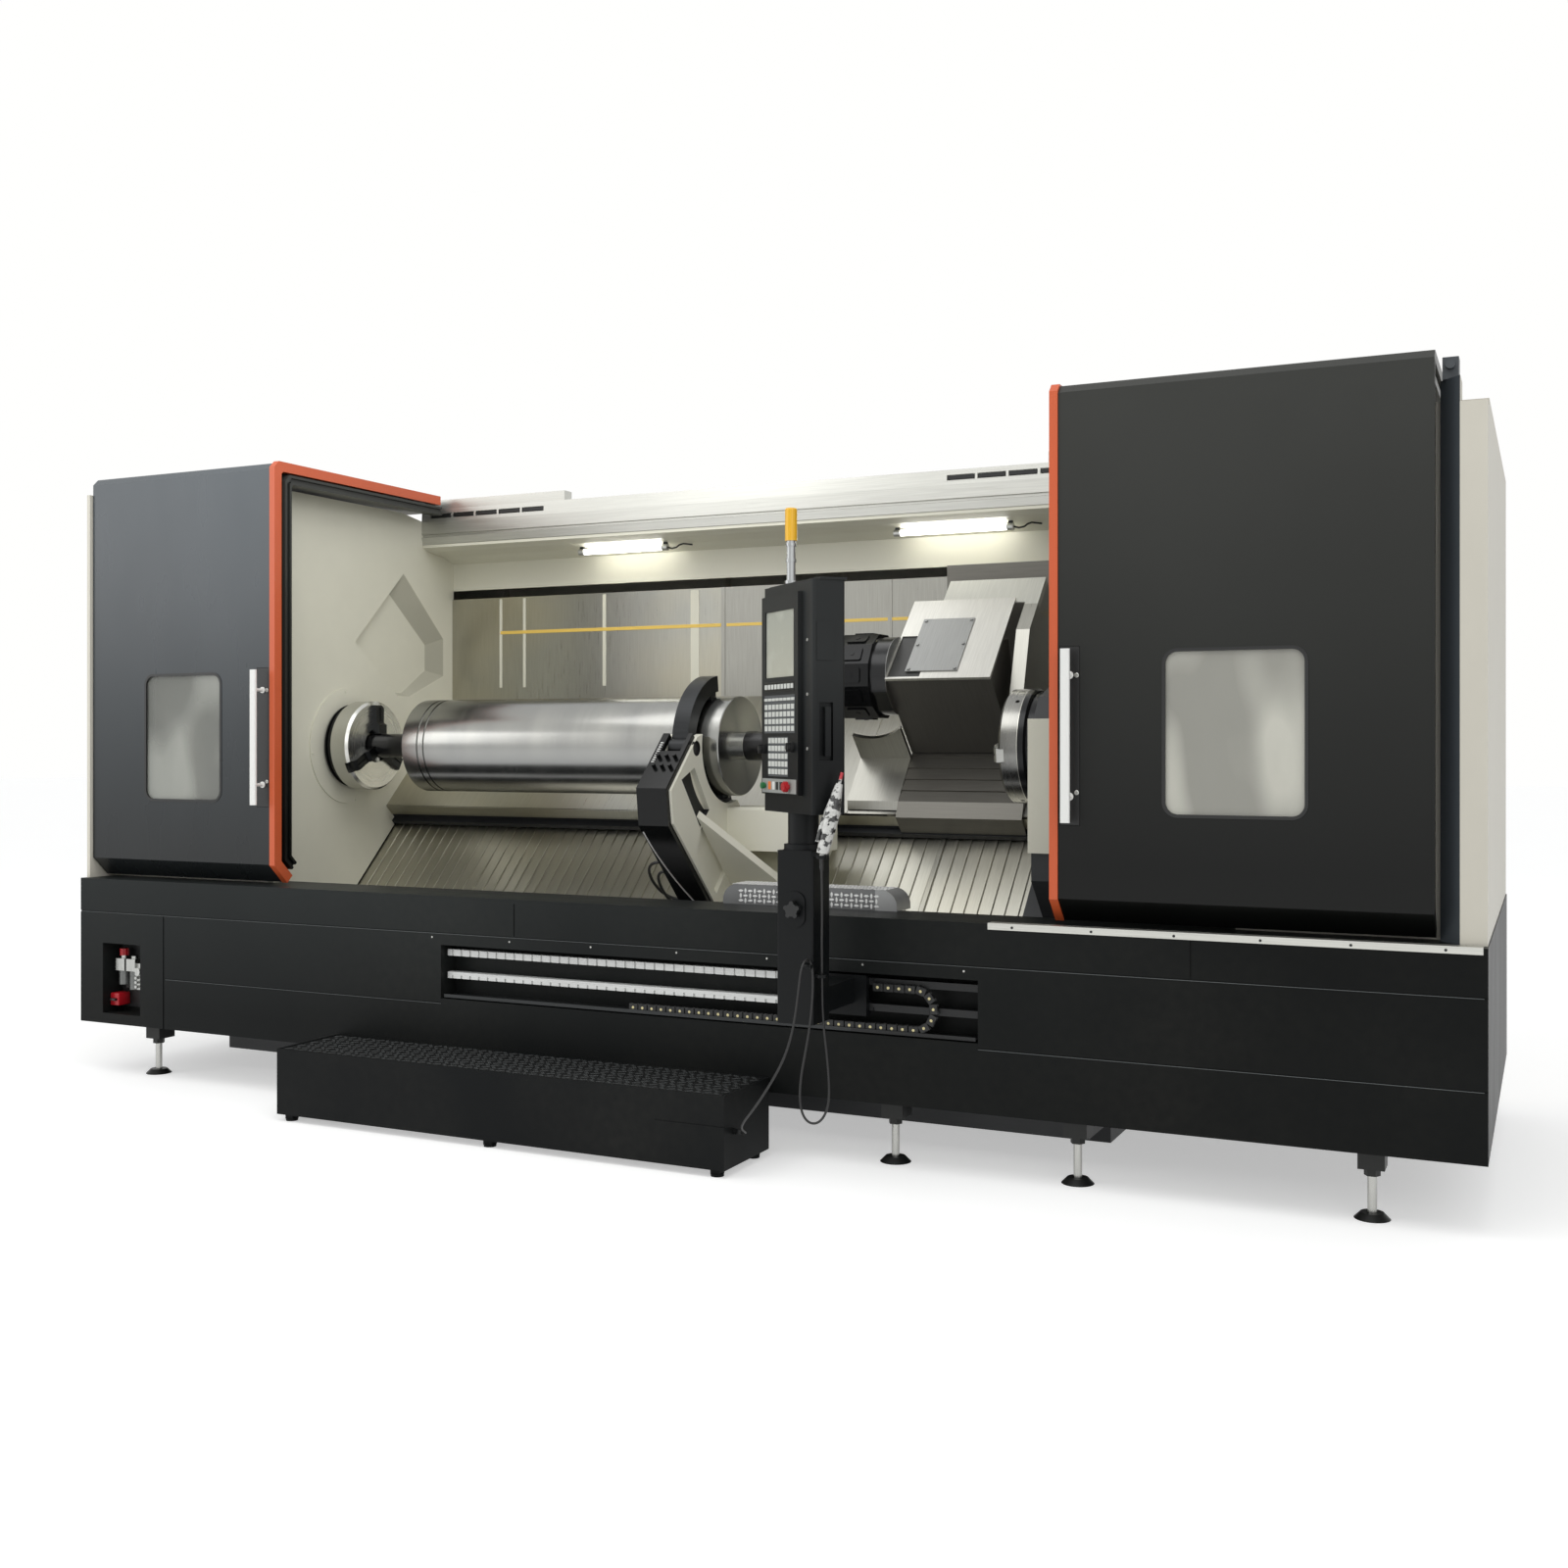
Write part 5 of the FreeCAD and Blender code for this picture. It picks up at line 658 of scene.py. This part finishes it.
def close_group(network, instances, material):
    """Realises the copies, gives them their material and ends the tree."""
    real = network.node("GeometryNodeRealizeInstances", {}, {"Geometry": instances})
    painted = network.node("GeometryNodeSetMaterial", {}, {"Geometry": real, "Material": material})
    network.feed(network.tree.nodes.new("NodeGroupOutput").inputs[0], painted)
    return network.tree


def copies(net, points, item, turn):
    """The item's shape on each point."""
    shape = net.node("GeometryNodeObjectInfo", {}, {"Object": item}, out="Geometry")
    return net.node("GeometryNodeInstanceOnPoints", {},
                    {"Points": points, "Instance": shape, "Rotation": turn})


def rows_group():
    """An item set out in straight rows; every other row is shifted and every other item turned."""
    net, put = new_group("set_out_in_rows", Object=["Item"], Material=["Material"], Int=["In Row", "Total"],
                         Vector=["First", "Along", "Across", "Turn"], Float=["Stagger", "Flip"])
    index = net.node("GeometryNodeInputIndex")
    row = (index / put["In Row"]).math("FLOOR")
    column = index - row * put["In Row"]
    shift = column + row.math("FLOORED_MODULO", 2.0) * put["Stagger"]
    place = net.vector("ADD", put["First"], net.vector("SCALE", put["Along"], Scale=shift))
    place = net.vector("ADD", place, net.vector("SCALE", put["Across"], Scale=row))
    line = net.node("GeometryNodeMeshLine", {}, {"Count": put["Total"]})
    line = net.node("GeometryNodeSetPosition", {}, {"Geometry": line, "Position": place})
    flip = (row + column).math("FLOORED_MODULO", 2.0) * put["Flip"]
    turned_by_turns = net.node("GeometryNodeRotateInstances", {},
                               {"Instances": copies(net, line, put["Item"], put["Turn"]),
                                "Rotation": net.joined(z=flip)})
    return close_group(net, turned_by_turns, put["Material"])


def path_group():
    """An item set out along a path that lies in an upright plane along X."""
    net, put = new_group("set_out_along_path", Object=["Item", "Path"], Material=["Material"],
                         Float=["Pitch"])
    path = net.node("GeometryNodeObjectInfo", {}, {"Object": put["Path"]}, out="Geometry")
    points = net.node("GeometryNodeCurveToPoints", {"mode": "LENGTH"},
                      {"Curve": path, "Length": put["Pitch"]})
    tangent = Value(net, points.socket.node.outputs["Tangent"])
    x, _, z = net.parts(tangent)
    about = net.joined(y=(z * -1.0).math("ARCTAN2", x))
    return close_group(net, copies(net, points, put["Item"], about), put["Material"])


ROWS = rows_group()
ALONG_PATH = path_group()


def set_out(name, group, form, finish, body, replaces=(), **inputs):
    """Runs a tree on a form and keeps the result as a plain mesh piece."""
    item = put_in_scene(name + "_item", form.mesh_data(name + "_item"))
    carrier = put_in_scene(name + "_carrier", bpy.data.meshes.new(name + "_carrier"))
    modifier = carrier.modifiers.new("set_out", "NODES")
    modifier.node_group = group
    values = {"Item": item, "Material": FINISHES.get(finish, finish)}
    values.update((key.replace("_", " "), value) for key, value in inputs.items())
    for socket in group.interface.items_tree:
        if socket.in_out == "INPUT" and socket.name in values:
            modifier[socket.identifier] = values[socket.name]
    mesh = as_mesh(carrier)
    carrier.modifiers.remove(modifier)
    for made in (item, carrier):
        bpy.data.objects.remove(made)
    return piece(name, mesh, finish, body, replaces=replaces)


def in_rows(name, form, finish, body, first, along, counts, across=(0, 0, 0), turn=(0, 0, 0), stagger=0.0,
            flip=0.0, replaces=(), matrix=None):
    """A form set out in rows; the counts are how many in a row and how many rows."""
    made = set_out(name, ROWS, form, finish, body, replaces, First=first, Along=along, Across=across,
                   Turn=turn, In_Row=counts[0], Total=counts[0] * counts[1], Stagger=stagger, Flip=flip)
    if matrix:
        made.data.transform(matrix)
    return made


def screw_head(radius, height):
    """Cap screw seen from the front, facing -Y: chamfered head with a sunk socket."""
    profile = [(-0.001, radius), (height * 0.7, radius), (height, radius * 0.8), (height, radius * 0.45),
               (height * 0.4, radius * 0.4)]
    return Form().turned((0, 0, 0), (0, -1, 0), profile, 10)


# ---- air hose

HOSE_DIAMETER = 0.009
HOSE_ROUTE = [
    (1.0845, -1.7436, 1.240), (1.083, -1.736, 1.172), (1.074, -1.714, 1.092), (1.058, -1.678, 1.012),
    (1.038, -1.636, 0.936), (1.021, -1.598, 0.858), (1.012, -1.576, 0.772), (1.011, -1.572, 0.690),
    (1.018, -1.575, 0.605), (1.031, -1.580, 0.525), (1.042, -1.586, 0.445), (1.048, -1.590, 0.365),
    (1.040, -1.596, 0.300), (1.012, -1.604, 0.258), (0.975, -1.612, 0.255), (0.948, -1.618, 0.290),
    (0.942, -1.624, 0.360), (0.952, -1.628, 0.440), (0.972, -1.632, 0.530), (0.990, -1.635, 0.620),
    (1.000, -1.636, 0.710), (1.003, -1.637, 0.770), (1.003, -1.640, 0.830), (1.002, -1.665, 0.866),
    (1.000, -1.702, 0.868), (0.996, -1.726, 0.836), (0.990, -1.732, 0.770), (0.980, -1.736, 0.680),
    (0.962, -1.738, 0.590), (0.930, -1.736, 0.505), (0.885, -1.730, 0.430), (0.835, -1.718, 0.360),
    (0.785, -1.700, 0.300), (0.735, -1.670, 0.250), (0.700, -1.625, 0.212), (0.690, -1.570, 0.185),
    (0.672, -1.526, 0.170), (0.6285, -1.510, 0.167),
]


def ferrule(name, start, towards, length, body):
    """Crimped sleeve over the hose's end, tapering into a short strain relief."""
    way = Vector(towards) - Vector(start)
    profile = [(-0.004, 0.0085), (0.010, 0.0085)]
    for k in range(3):
        profile += [(0.012 + 0.006 * k, 0.0072), (0.015 + 0.006 * k, 0.0085)]
    profile += [(0.031, 0.0080), (length, 0.0056)]
    return Form().turned(start, way, profile, 20).done(name, "black_plastic", body)


def air_hose():
    """Hose that hangs from the gun, loops over its peg and goes into the step, which holds its end."""
    route = curve("hose_route", "NURBS", HOSE_ROUTE)
    line = route.data
    line.splines[0].order_u = 3
    line.splines[0].use_endpoint_u = True
    line.splines[0].resolution_u = 6
    middle = [tuple(vertex.co) for vertex in as_mesh(route).vertices]
    line.bevel_depth = HOSE_DIAMETER / 2
    line.bevel_resolution = 3
    line.use_fill_caps = True
    hose = piece("hose", as_mesh(route), "hose_rubber", None, smooth=60, replaces=("air_hose",))
    bpy.data.objects.remove(route)
    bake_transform(hose)
    ends = [ferrule("hose_top_ferrule", HOSE_ROUTE[0], HOSE_ROUTE[1], 0.045, "pendant"),
            ferrule("hose_step_ferrule", HOSE_ROUTE[-1], HOSE_ROUTE[-2], 0.040, "root")]


# ---- energy chain in the slot

CHAIN_Y = -1.178
CHAIN_LOW, CHAIN_RADIUS = 0.548, 0.078
CHAIN_LEFT, CHAIN_TURN_X, CHAIN_RIGHT_END = -0.030, 1.225, 1.072
CHAIN_PITCH = 0.0435
CHAIN_HALF_HEIGHT, CHAIN_HALF_WIDTH = 0.016, 0.009
CHAIN_PLATE = 0.004                             # thickness of a link's sides and crossbars
CHAIN_TURN_STEPS = 16


def chain_path():
    """Long lower run, half circle at the right, short upper run."""
    points = [(CHAIN_LEFT, CHAIN_Y, CHAIN_LOW), (CHAIN_TURN_X, CHAIN_Y, CHAIN_LOW)]
    for k in range(1, CHAIN_TURN_STEPS + 1):
        a = math.radians(-90 + 180 * k / CHAIN_TURN_STEPS)
        points.append((CHAIN_TURN_X + CHAIN_RADIUS * math.cos(a), CHAIN_Y,
                       CHAIN_LOW + CHAIN_RADIUS + CHAIN_RADIUS * math.sin(a)))
    points.append((CHAIN_RIGHT_END, CHAIN_Y, CHAIN_LOW + 2 * CHAIN_RADIUS))
    return curve("chain_path", "POLY", points)


def energy_chain():
    """Links with crossbars and pale pin caps."""
    path = chain_path()
    tall, wide = CHAIN_HALF_HEIGHT, CHAIN_HALF_WIDTH
    link = Form()
    for y in (-wide, wide - CHAIN_PLATE):
        link.box((-0.0205, 0.0205), (y, y + CHAIN_PLATE), (-tall, tall), bevel=0.003)
    for z in (-tall, tall - CHAIN_PLATE):
        link.box((-0.010, 0.010), (-wide, wide), (z, z + CHAIN_PLATE), bevel=0.001)
    cap = Form().turned((0, -0.0085, 0), (0, -1, 0), [(0, 0.0058), (0.001, 0.0058), (0.0015, 0.0048)], 10)
    for name, form, finish in (("chain_links", link, "black_plastic"),
                               ("chain_pins", cap, moulded("pin_caps", tint(226, 214, 160), 0.4))):
        made = set_out(name, ALONG_PATH, form, finish, None, ("energy_chain",), Path=path,
                       Pitch=CHAIN_PITCH)
        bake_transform(made)
    bpy.data.objects.remove(path)


# ---- lamella covers on the lower slope

LAMELLA_FACE = -0.550
LAMELLA_U = (-0.640, -0.021)
LAMELLA_PITCH = 0.0615
LEFT_END, STEADY_LEFT, STEADY_RIGHT = -2.170, -0.160, 0.420
STANCHION, HEADSTOCK_LEFT = (0.938, 0.962), 1.450
LAMELLA_WAY = on_slope(0, LAMELLA_U[1], 0) - on_slope(0, LAMELLA_U[0], 0)
LAMELLA_MIDDLE = -0.33                          # about halfway up the slope
STANCHION_N = (-0.594, -0.549)


def lamella_pack(name, x0, x1, node):
    """Overlapping plates with a folded lip, set out from one x to another."""
    count = round((x1 - x0) / LAMELLA_PITCH)
    pitch = (x1 - x0) / count
    top = LAMELLA_FACE - 0.0005
    profile = [(0.0, top - 0.0065), (pitch - 0.006, top - 0.001), (pitch - 0.001, top), (pitch, top - 0.001),
               (pitch, top - 0.006), (pitch - 0.002, top - 0.006), (pitch - 0.006, top - 0.004),
               (0.0, top - 0.009)]
    plate = Form().prism([on_slope(x, LAMELLA_U[0], n) for x, n in profile], LAMELLA_WAY)
    made = in_rows(name, plate, LAMELLA_STEEL, None, (x0, 0, 0), (pitch, 0, 0), (count, 1), replaces=(node,))
    middle = on_slope(0, LAMELLA_MIDDLE, LAMELLA_FACE)
    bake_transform(made)


def lamella_covers():
    """Three packs, and the fixed bar between the second and the third."""
    (left, right), (low, high) = STANCHION, STANCHION_N
    lamella_pack("lamellas_left", LEFT_END, STEADY_LEFT, "lamella_left")
    lamella_pack("lamellas_middle", STEADY_RIGHT, left, "lamella_right")
    lamella_pack("lamellas_right", right, HEADSTOCK_LEFT, "lamella_right")
    outline = [on_slope(x, LAMELLA_U[0], n) for x, n in
               ((left, low), (right, low), (right, high), (left, high))]
    Form().prism(outline, LAMELLA_WAY, bevel=0.002).done("lamella_stanchion", "stainless", "root",
                                                         replaces=("lamella_right",))


# ---- doors

PANE_LAP = 0.017
CORNER = 0.052
DOOR_FACE = -1.150
HANDLE_AT = {"left": -2.096, "right": 1.825}
HANDLE_PLATE_Z, HANDLE_PLATE_HALF = (1.3485, 2.0115), 0.0375
GASKET_OUT, GASKET_IN = 0.004, 0.008            # how far the rubber laps over the leaf and over the pane
GASKET_FRONT, GASKET_DEPTH = DOOR_FACE - 0.0025, 0.0100
INNER_PANE_FRONT, INNER_PANE_DEPTH, PANE_PLAY = -1.089, 0.010, 0.0003


def window_edge(side, grow, radius, y):
    """A door window's outline, grown all round."""
    low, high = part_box(f"{side}_door_window")
    x, z = ((low[i] + PANE_LAP - grow, high[i] - PANE_LAP + grow) for i in (0, 2))
    return rounded_rectangle(x, z, radius, y)


def window_gaskets():
    """Rubber profile round each window, and the pane of the leaf behind it."""
    for side in HANDLE_AT:
        outer = window_edge(side, GASKET_OUT, CORNER + GASKET_OUT, GASKET_FRONT)
        inner = window_edge(side, -GASKET_IN, CORNER - GASKET_IN, GASKET_FRONT)
        Form().ring(outer, inner, (0, GASKET_DEPTH, 0)).done(f"{side}_window_gasket", "black_plastic",
                                                             f"{side}_door", smooth=50)
        pane_edge = window_edge(side, -PANE_PLAY, CORNER, INNER_PANE_FRONT)
        Form().prism(pane_edge, (0, INNER_PANE_DEPTH, 0)).done(f"{side}_inner_pane", "window_glass",
                                                               f"{side}_inner_door")


def handle_plates():
    """Black plate behind each handle, with two bright pins."""
    for side, x in HANDLE_AT.items():
        Form().box((x - HANDLE_PLATE_HALF, x + HANDLE_PLATE_HALF), (DOOR_FACE + 0.0002, DOOR_FACE + 0.0044),
                   HANDLE_PLATE_Z, bevel=0.0015).done(f"{side}_handle_plate", "black_plastic", f"{side}_door")
        in_rows(f"{side}_strip_pins", screw_head(0.009, 0.005), "ground_steel", f"{side}_door",
                (x + 0.027, DOOR_FACE + 0.0005, 1.470), (0, 0, 0.434), (2, 1))


# ---- skirt, slot, step and tread

def skirt_screws():
    """Button screws under the skirt's upper seam and on the ledge, and a light strip in each seam as a
    painted highlight on its edge.
    """
    # painted highlight: a light strip along each seam's edge
    for name, x0, z in (("upper_seam_edge", -3.238, 0.8066), ("lower_seam_edge", -2.675, 0.4966)):
        Form().box((x0, 3.238), (SKIRT_FACE + 0.0004, SKIRT_FACE + 0.0030), (z, z + 0.0018),
                   bevel=0.0004).done(name, SEAM_HIGHLIGHT, "root")
    in_rows("skirt_screws", screw_head(0.0042, 0.002), "ground_steel", "root",
            (-1.06, SKIRT_FACE, 0.790), (0.415, 0, 0), (7, 1))
    in_rows("ledge_screws", screw_head(0.005, 0.002), "dark_steel", "root",
            (1.62, SKIRT_FACE - 0.003, 0.964), (0.30, 0, 0), (6, 1))


def service_block():
    """Red isolating valve with its black lever, low in the service recess."""
    Form().box((-3.088, -3.030), (-1.160, -1.0875), (0.340, 0.402), bevel=0.004, steps=2).done(
        "isolating_valve", "red_plastic", "root")
    Form().box((-3.078, -3.040), (-1.176, -1.1595), (0.365, 0.377), bevel=0.003, steps=2).done(
        "valve_lever", "black_plastic", "root")


CROSSED = {"turn": (0, 0, math.radians(45)), "flip": math.radians(90)}     # every other one lies across


def step_mat():
    """Studded rubber mat in the step's top; its studs are painted lighter than its sheet as glints."""
    low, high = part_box("step_platform")
    top = high[2] - 0.002
    x = (-1.580, 0.590)
    y = (low[1] + 0.020, SKIRT_FACE - 0.022)
    stud = Form().box((-0.017, 0.017), (-0.0065, 0.0065), (-0.0005, 0.0011), bevel=0.0005)
    in_rows("mat_studs", stud, MAT_STUD_GLINT, "root", (x[0] + 0.02, y[0] + 0.012, top + 0.0008),
            (0.040, 0, 0), (54, 9), across=(0, 0.040, 0), stagger=0.5, **CROSSED)
    Form().box(x, y, (top - 0.0005, top + 0.0008), bevel=0.0004).done("mat_sheet", "black_plastic", "root")


def lozenge():
    """A raised lozenge with soft edges, lying flat."""
    half_length, half_width, shoulder = 0.0125, 0.0050, 0.004
    outline = [(half_length, 0), (shoulder, half_width), (-shoulder, half_width), (-half_length, 0),
               (-shoulder, -half_width), (shoulder, -half_width)]
    return Form().prism([(x, y, -0.0004) for x, y in outline], (0, 0, 0.0020), bevel=0.0009)


def tread_lozenges():
    """Raised lozenges on the tread's top and front."""
    low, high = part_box("tread_plate")
    in_rows("tread_top_lozenges", lozenge(), "tread", "root", (low[0] + 0.050, low[1] + 0.012, high[2]),
            (0.022, 0, 0), (32, 7), across=(0, 0.0205, 0), **CROSSED)
    in_rows("tread_front_lozenges", lozenge(), "tread", "root", (low[0] + 0.085, low[1], low[2] + 0.016),
            (0.022, 0, 0), (29, 3), across=(0, 0, 0.0205), flip=math.radians(90),
            turn=(math.radians(90), 0, 0))


# ---- work room

LAMP_Y, LAMP_Z, LAMP_RADIUS = 0.280, 2.668, 0.0146
LAMP_ENDS = {"left": (-1.206, -0.734), "right": (0.594, 1.126)}


def lamp_tubes():
    """Lit diffusers over the lamps' tubes, and the cable at the right end of each."""
    for side, (left, right) in LAMP_ENDS.items():
        profile = [(0, LAMP_RADIUS), (right - left, LAMP_RADIUS)]
        tube = Form().turned((left, LAMP_Y, LAMP_Z), (1, 0, 0), profile)
        tube.done(f"{side}_lamp_tube", TUBE_LIGHT, "root")
        end = right + 0.030
        cable = [(end, LAMP_Y, LAMP_Z), (end + 0.030, 0.278, 2.660), (end + 0.055, 0.279, 2.664),
                 (end + 0.070, 0.284, 2.676), (end + 0.085, 0.300, 2.684), (end + 0.130, 0.315, 2.678)]
        Form().pipe(cable, 0.0045, 8).done(f"{side}_lamp_cable", "hose_rubber", "root")


def back_wall_fittings():
    """Flat seams and a thin yellow band on the stainless wall, and the rubber strips in the beam's slots."""
    for x, half in ((-1.838, 0.009), (-1.681, 0.009), (-1.165, 0.011), (-0.610, 0.026)):
        Form().box((x - half, x + half), (0.4055, 0.4085), (1.96, 2.452), bevel=0.001).done(
            f"wall_strip_{round(abs(x) * 100)}", "cream_paint", "root")
    for side, body, x, y, z in (("left", "root", (-1.84, -0.452), (0.4045, 0.4085), (2.256, 2.274)),
                                ("right", "carriage", (-0.42, 1.40), (0.3985, 0.4005), (2.256, 2.272))):
        Form().box(x, y, z, bevel=0.0005).done(f"yellow_line_{side}", YELLOW, body)
    for side, first in (("left", -2.110), ("right", 0.880)):
        strip = Form().box((0.003, 0.135), (0.138, 0.146), (2.883, 2.903), bevel=0.002)
        in_rows(f"{side}_beam_strips", strip, "black_plastic", "root", (first, 0, 0), (0.15, 0, 0), (5, 1))


# ---- pendant

HEAD_FRONT = -HEAD_FACE - CONSOLE


def head_box(right, out, z):
    """A thin box on the pendant's console: to the right, out of its face, and in height."""
    return Form().box(right, (HEAD_FRONT - out[1], HEAD_FRONT - out[0]), z, 0.0005).turn(HEAD)


KEY_ROWS = (            # name, finish, x and z of the top left key, steps, counts, width and height
    ("soft_keys", KEYS, (-0.160, 1.864), (0.0305, 0.02), (9, 1), (0.022, 0.018)),
    ("marker_keys", KEYS, (-0.160, 1.816), (0.0360, 0.02), (8, 1), (0.030, 0.010)),
    ("upper_keys", KEYS, (-0.158, 1.788), (0.0355, 0.027), (8, 4), (0.026, 0.019)),
    ("lower_keys", KEYS, (-0.124, 1.662), (0.0310, 0.0290), (6, 5), (0.024, 0.020)),
    ("orange_keys", ORANGE_KEY, (-0.126, 1.493), (0.030, 0.02), (1, 1), (0.024, 0.030)),
    ("white_keys", "white_plastic", (-0.088, 1.493), (0.030, 0.02), (1, 1), (0.022, 0.030)),
    ("dark_keys", "black_plastic", (-0.054, 1.493), (0.036, 0.02), (2, 1), (0.022, 0.030)),
)
KEY_DEPTH, KEY_SEAT = 0.0022, 0.0008    # a key's height, and where it starts in front of the console


def pendant_details():
    """Display, key fields, keys, marker strips and screws on the pendant's head."""
    for name, right, z, finish in (
            ("key_field", (-0.176, 0.108), (1.690, 1.832), PANEL_GREY),
            ("soft_key_field", (-0.176, 0.104), (1.846, 1.882), "dark_steel"),
            ("lower_field", (-0.140, 0.046), (1.528, 1.676), PANEL_GREY),
            ("button_field", (-0.196, 0.120), (1.466, 1.519), STRIP_GREY)):
        head_box(right, (-0.0005, 0.0012), z).done(name, finish, "pendant_head")
    head_box((-0.1715, 0.0955), (-0.0068, -0.0050), (1.8995, 2.1475)).done("display", SCREEN, "pendant_head")
    for name, finish, (x, z), step, counts, (width, height) in KEY_ROWS:
        key = Form().box((-width / 2, width / 2), (-KEY_DEPTH, 0.0005), (-height / 2, height / 2),
                         bevel=0.001)
        in_rows(name, key, finish, "pendant_head", (x, HEAD_FRONT - KEY_SEAT, z), (step[0], 0, 0), counts,
                across=(0, 0, -step[1]), matrix=HEAD)
    in_rows("head_screws", screw_head(0.006, 0.003), "ground_steel", "pendant_head",
            (0.180, -HEAD_FACE, 1.633), (0, 0, 0.197), (3, 1), matrix=HEAD)


# ---- steady rest's fittings

COMB_X, COMB_FRONT, COMB_PITCH = (-0.1075, -0.0925), 0.2702, 0.013
COVER_X = -0.112                                # where the hoses and the line leave the cover


def steady_fittings():
    """Comb of fins, a pale line and two black hoses on the steady rest's black cover."""
    comb = Form()
    (left, right), low, high = COMB_X, COMB_FRONT - 0.001, COMB_FRONT + 0.005
    for k in range(10):
        u = -0.255 - COMB_PITCH * k
        corner = [on_slope(x, u, n) for x, n in ((left, low), (right, low), (right, high), (left, high))]
        comb.prism(corner, on_slope(0, 0.005, 0) - on_slope(0, 0, 0), bevel=0.001)
    comb.done("steady_comb", "white_plastic", "steady_rest")
    for k, reach in enumerate((0.150, 0.105)):
        bow = [on_slope(COVER_X - reach * math.sin(math.pi * t), -0.560 - 0.020 * k,
                        -0.180 - 0.040 * k - 0.250 * t + 0.05 * math.sin(2 * math.pi * t))
               for t in (i / 20 for i in range(21))]
        Form().pipe(bow, 0.007).done(f"steady_hose_{k}", "hose_rubber", "steady_rest")
    line = [on_slope(COVER_X + 0.102 * t ** 2, -0.6262, 0.10 - 0.55 * t)
            for t in (i / 14 for i in range(15))]
    Form().pipe(line, 0.0032, 8).done("steady_line", "white_plastic", "steady_rest")


# ---- studio

def area_light(name, place, aim, size, level):
    """A soft panel that shines with a plain level towards a point."""
    lamp = bpy.data.lights.new(name, "AREA")
    lamp.shape = "RECTANGLE"
    lamp.size, lamp.size_y = size
    lamp.energy = level * math.pi * size[0] * size[1]
    holder = put_in_scene(name, lamp)
    holder.location = place
    holder.rotation_euler = (Vector(aim) - Vector(place)).to_track_quat("-Z", "Y").to_euler()


def seen_directly(net):
    """1 for rays from the camera, and for those that metal and glass pass on."""
    path = net.node("ShaderNodeLightPath").socket.node
    camera, glossy, through = (Value(net, path.outputs[name]) for name in
                               ("Is Camera Ray", "Is Glossy Ray", "Is Transmission Ray"))
    return camera.math("MAXIMUM", glossy).math("MAXIMUM", through)


def world_light(level):
    """Soft light of one level from all round, and a white background."""
    world = bpy.data.worlds.new("studio")
    world.use_nodes = True
    net = Network(world.node_tree)
    net.tree.nodes.clear()
    soft = net.node("ShaderNodeBackground", {}, {"Color": (0.97, 0.98, 1.0, 1.0), "Strength": level})
    white = net.node("ShaderNodeBackground", {}, {"Color": (1.0, 1.0, 0.99, 1.0), "Strength": 1.0})
    both = net.node("ShaderNodeMixShader", {}, {0: seen_directly(net), 1: soft, 2: white})
    net.node("ShaderNodeOutputWorld", {}, {"Surface": both})
    bpy.context.scene.world = world


def pale_floor():
    """Wide pale floor that keeps the machine's shadow and meets the white background."""
    half = 60.0
    mesh = Form().box((-half, half), (-half, half), (-0.02, 0.0)).mesh_data("floor")
    finish = Finish("pale_floor", Roughness=0.9, Specular_IOR_Level=0.1, Emission_Strength=0.45)
    worn = finish.noise(0.6, 4.0)
    finish.set(Base_Color=finish.mix(worn, tint(226, 226, 224), tint(232, 232, 230)),
               Emission_Color=finish.mix(seen_directly(finish), (0.0, 0.0, 0.0, 1.0), (1.0, 1.0, 1.0, 1.0)))
    piece("floor", mesh, finish.material, None)


CAMERA_PLACE = (3.455, -7.0, 1.654)
CAMERA_TURN = math.radians(25.6)                # to the left of straight ahead
LENS, LENS_SHIFT = 37.06, -0.02625


def camera():
    """The photograph's point of view, level and shifted down a little."""
    lens = bpy.data.cameras.new("camera")
    lens.lens = LENS
    lens.shift_y = LENS_SHIFT
    holder = put_in_scene("camera", lens)
    holder.location = CAMERA_PLACE
    holder.rotation_euler = (math.radians(90), 0, CAMERA_TURN)
    bpy.context.scene.camera = holder


def studio():
    """Camera, even light from all round, four soft panels and a pale floor."""
    bpy.context.scene.view_settings.view_transform = "Standard"
    camera()
    world_light(0.68)
    area_light("left_panel", (-10.5, -8.7, 5.0), (-2.6, -1.15, 2.2), (5.0, 5.0), 2.6)
    area_light("top_panel", (0.5, -4.5, 7.5), (0.0, -0.4, 1.2), (8.0, 4.0), 2.0)
    area_light("right_panel", (7.0, -8.0, 4.6), (0.2, -0.6, 1.4), (4.0, 4.0), 1.3)
    area_light("room_panel", (-0.4, -0.55, 3.4), (-0.8, -0.2, 1.2), (3.6, 0.7), 1.4)
    pale_floor()


air_hose()
dress_nodes()
energy_chain()
lamella_covers()
window_gaskets()
handle_plates()
skirt_screws()
service_block()
step_mat()
tread_lozenges()
lamp_tubes()
back_wall_fittings()
pendant_details()
steady_fittings()
studio()
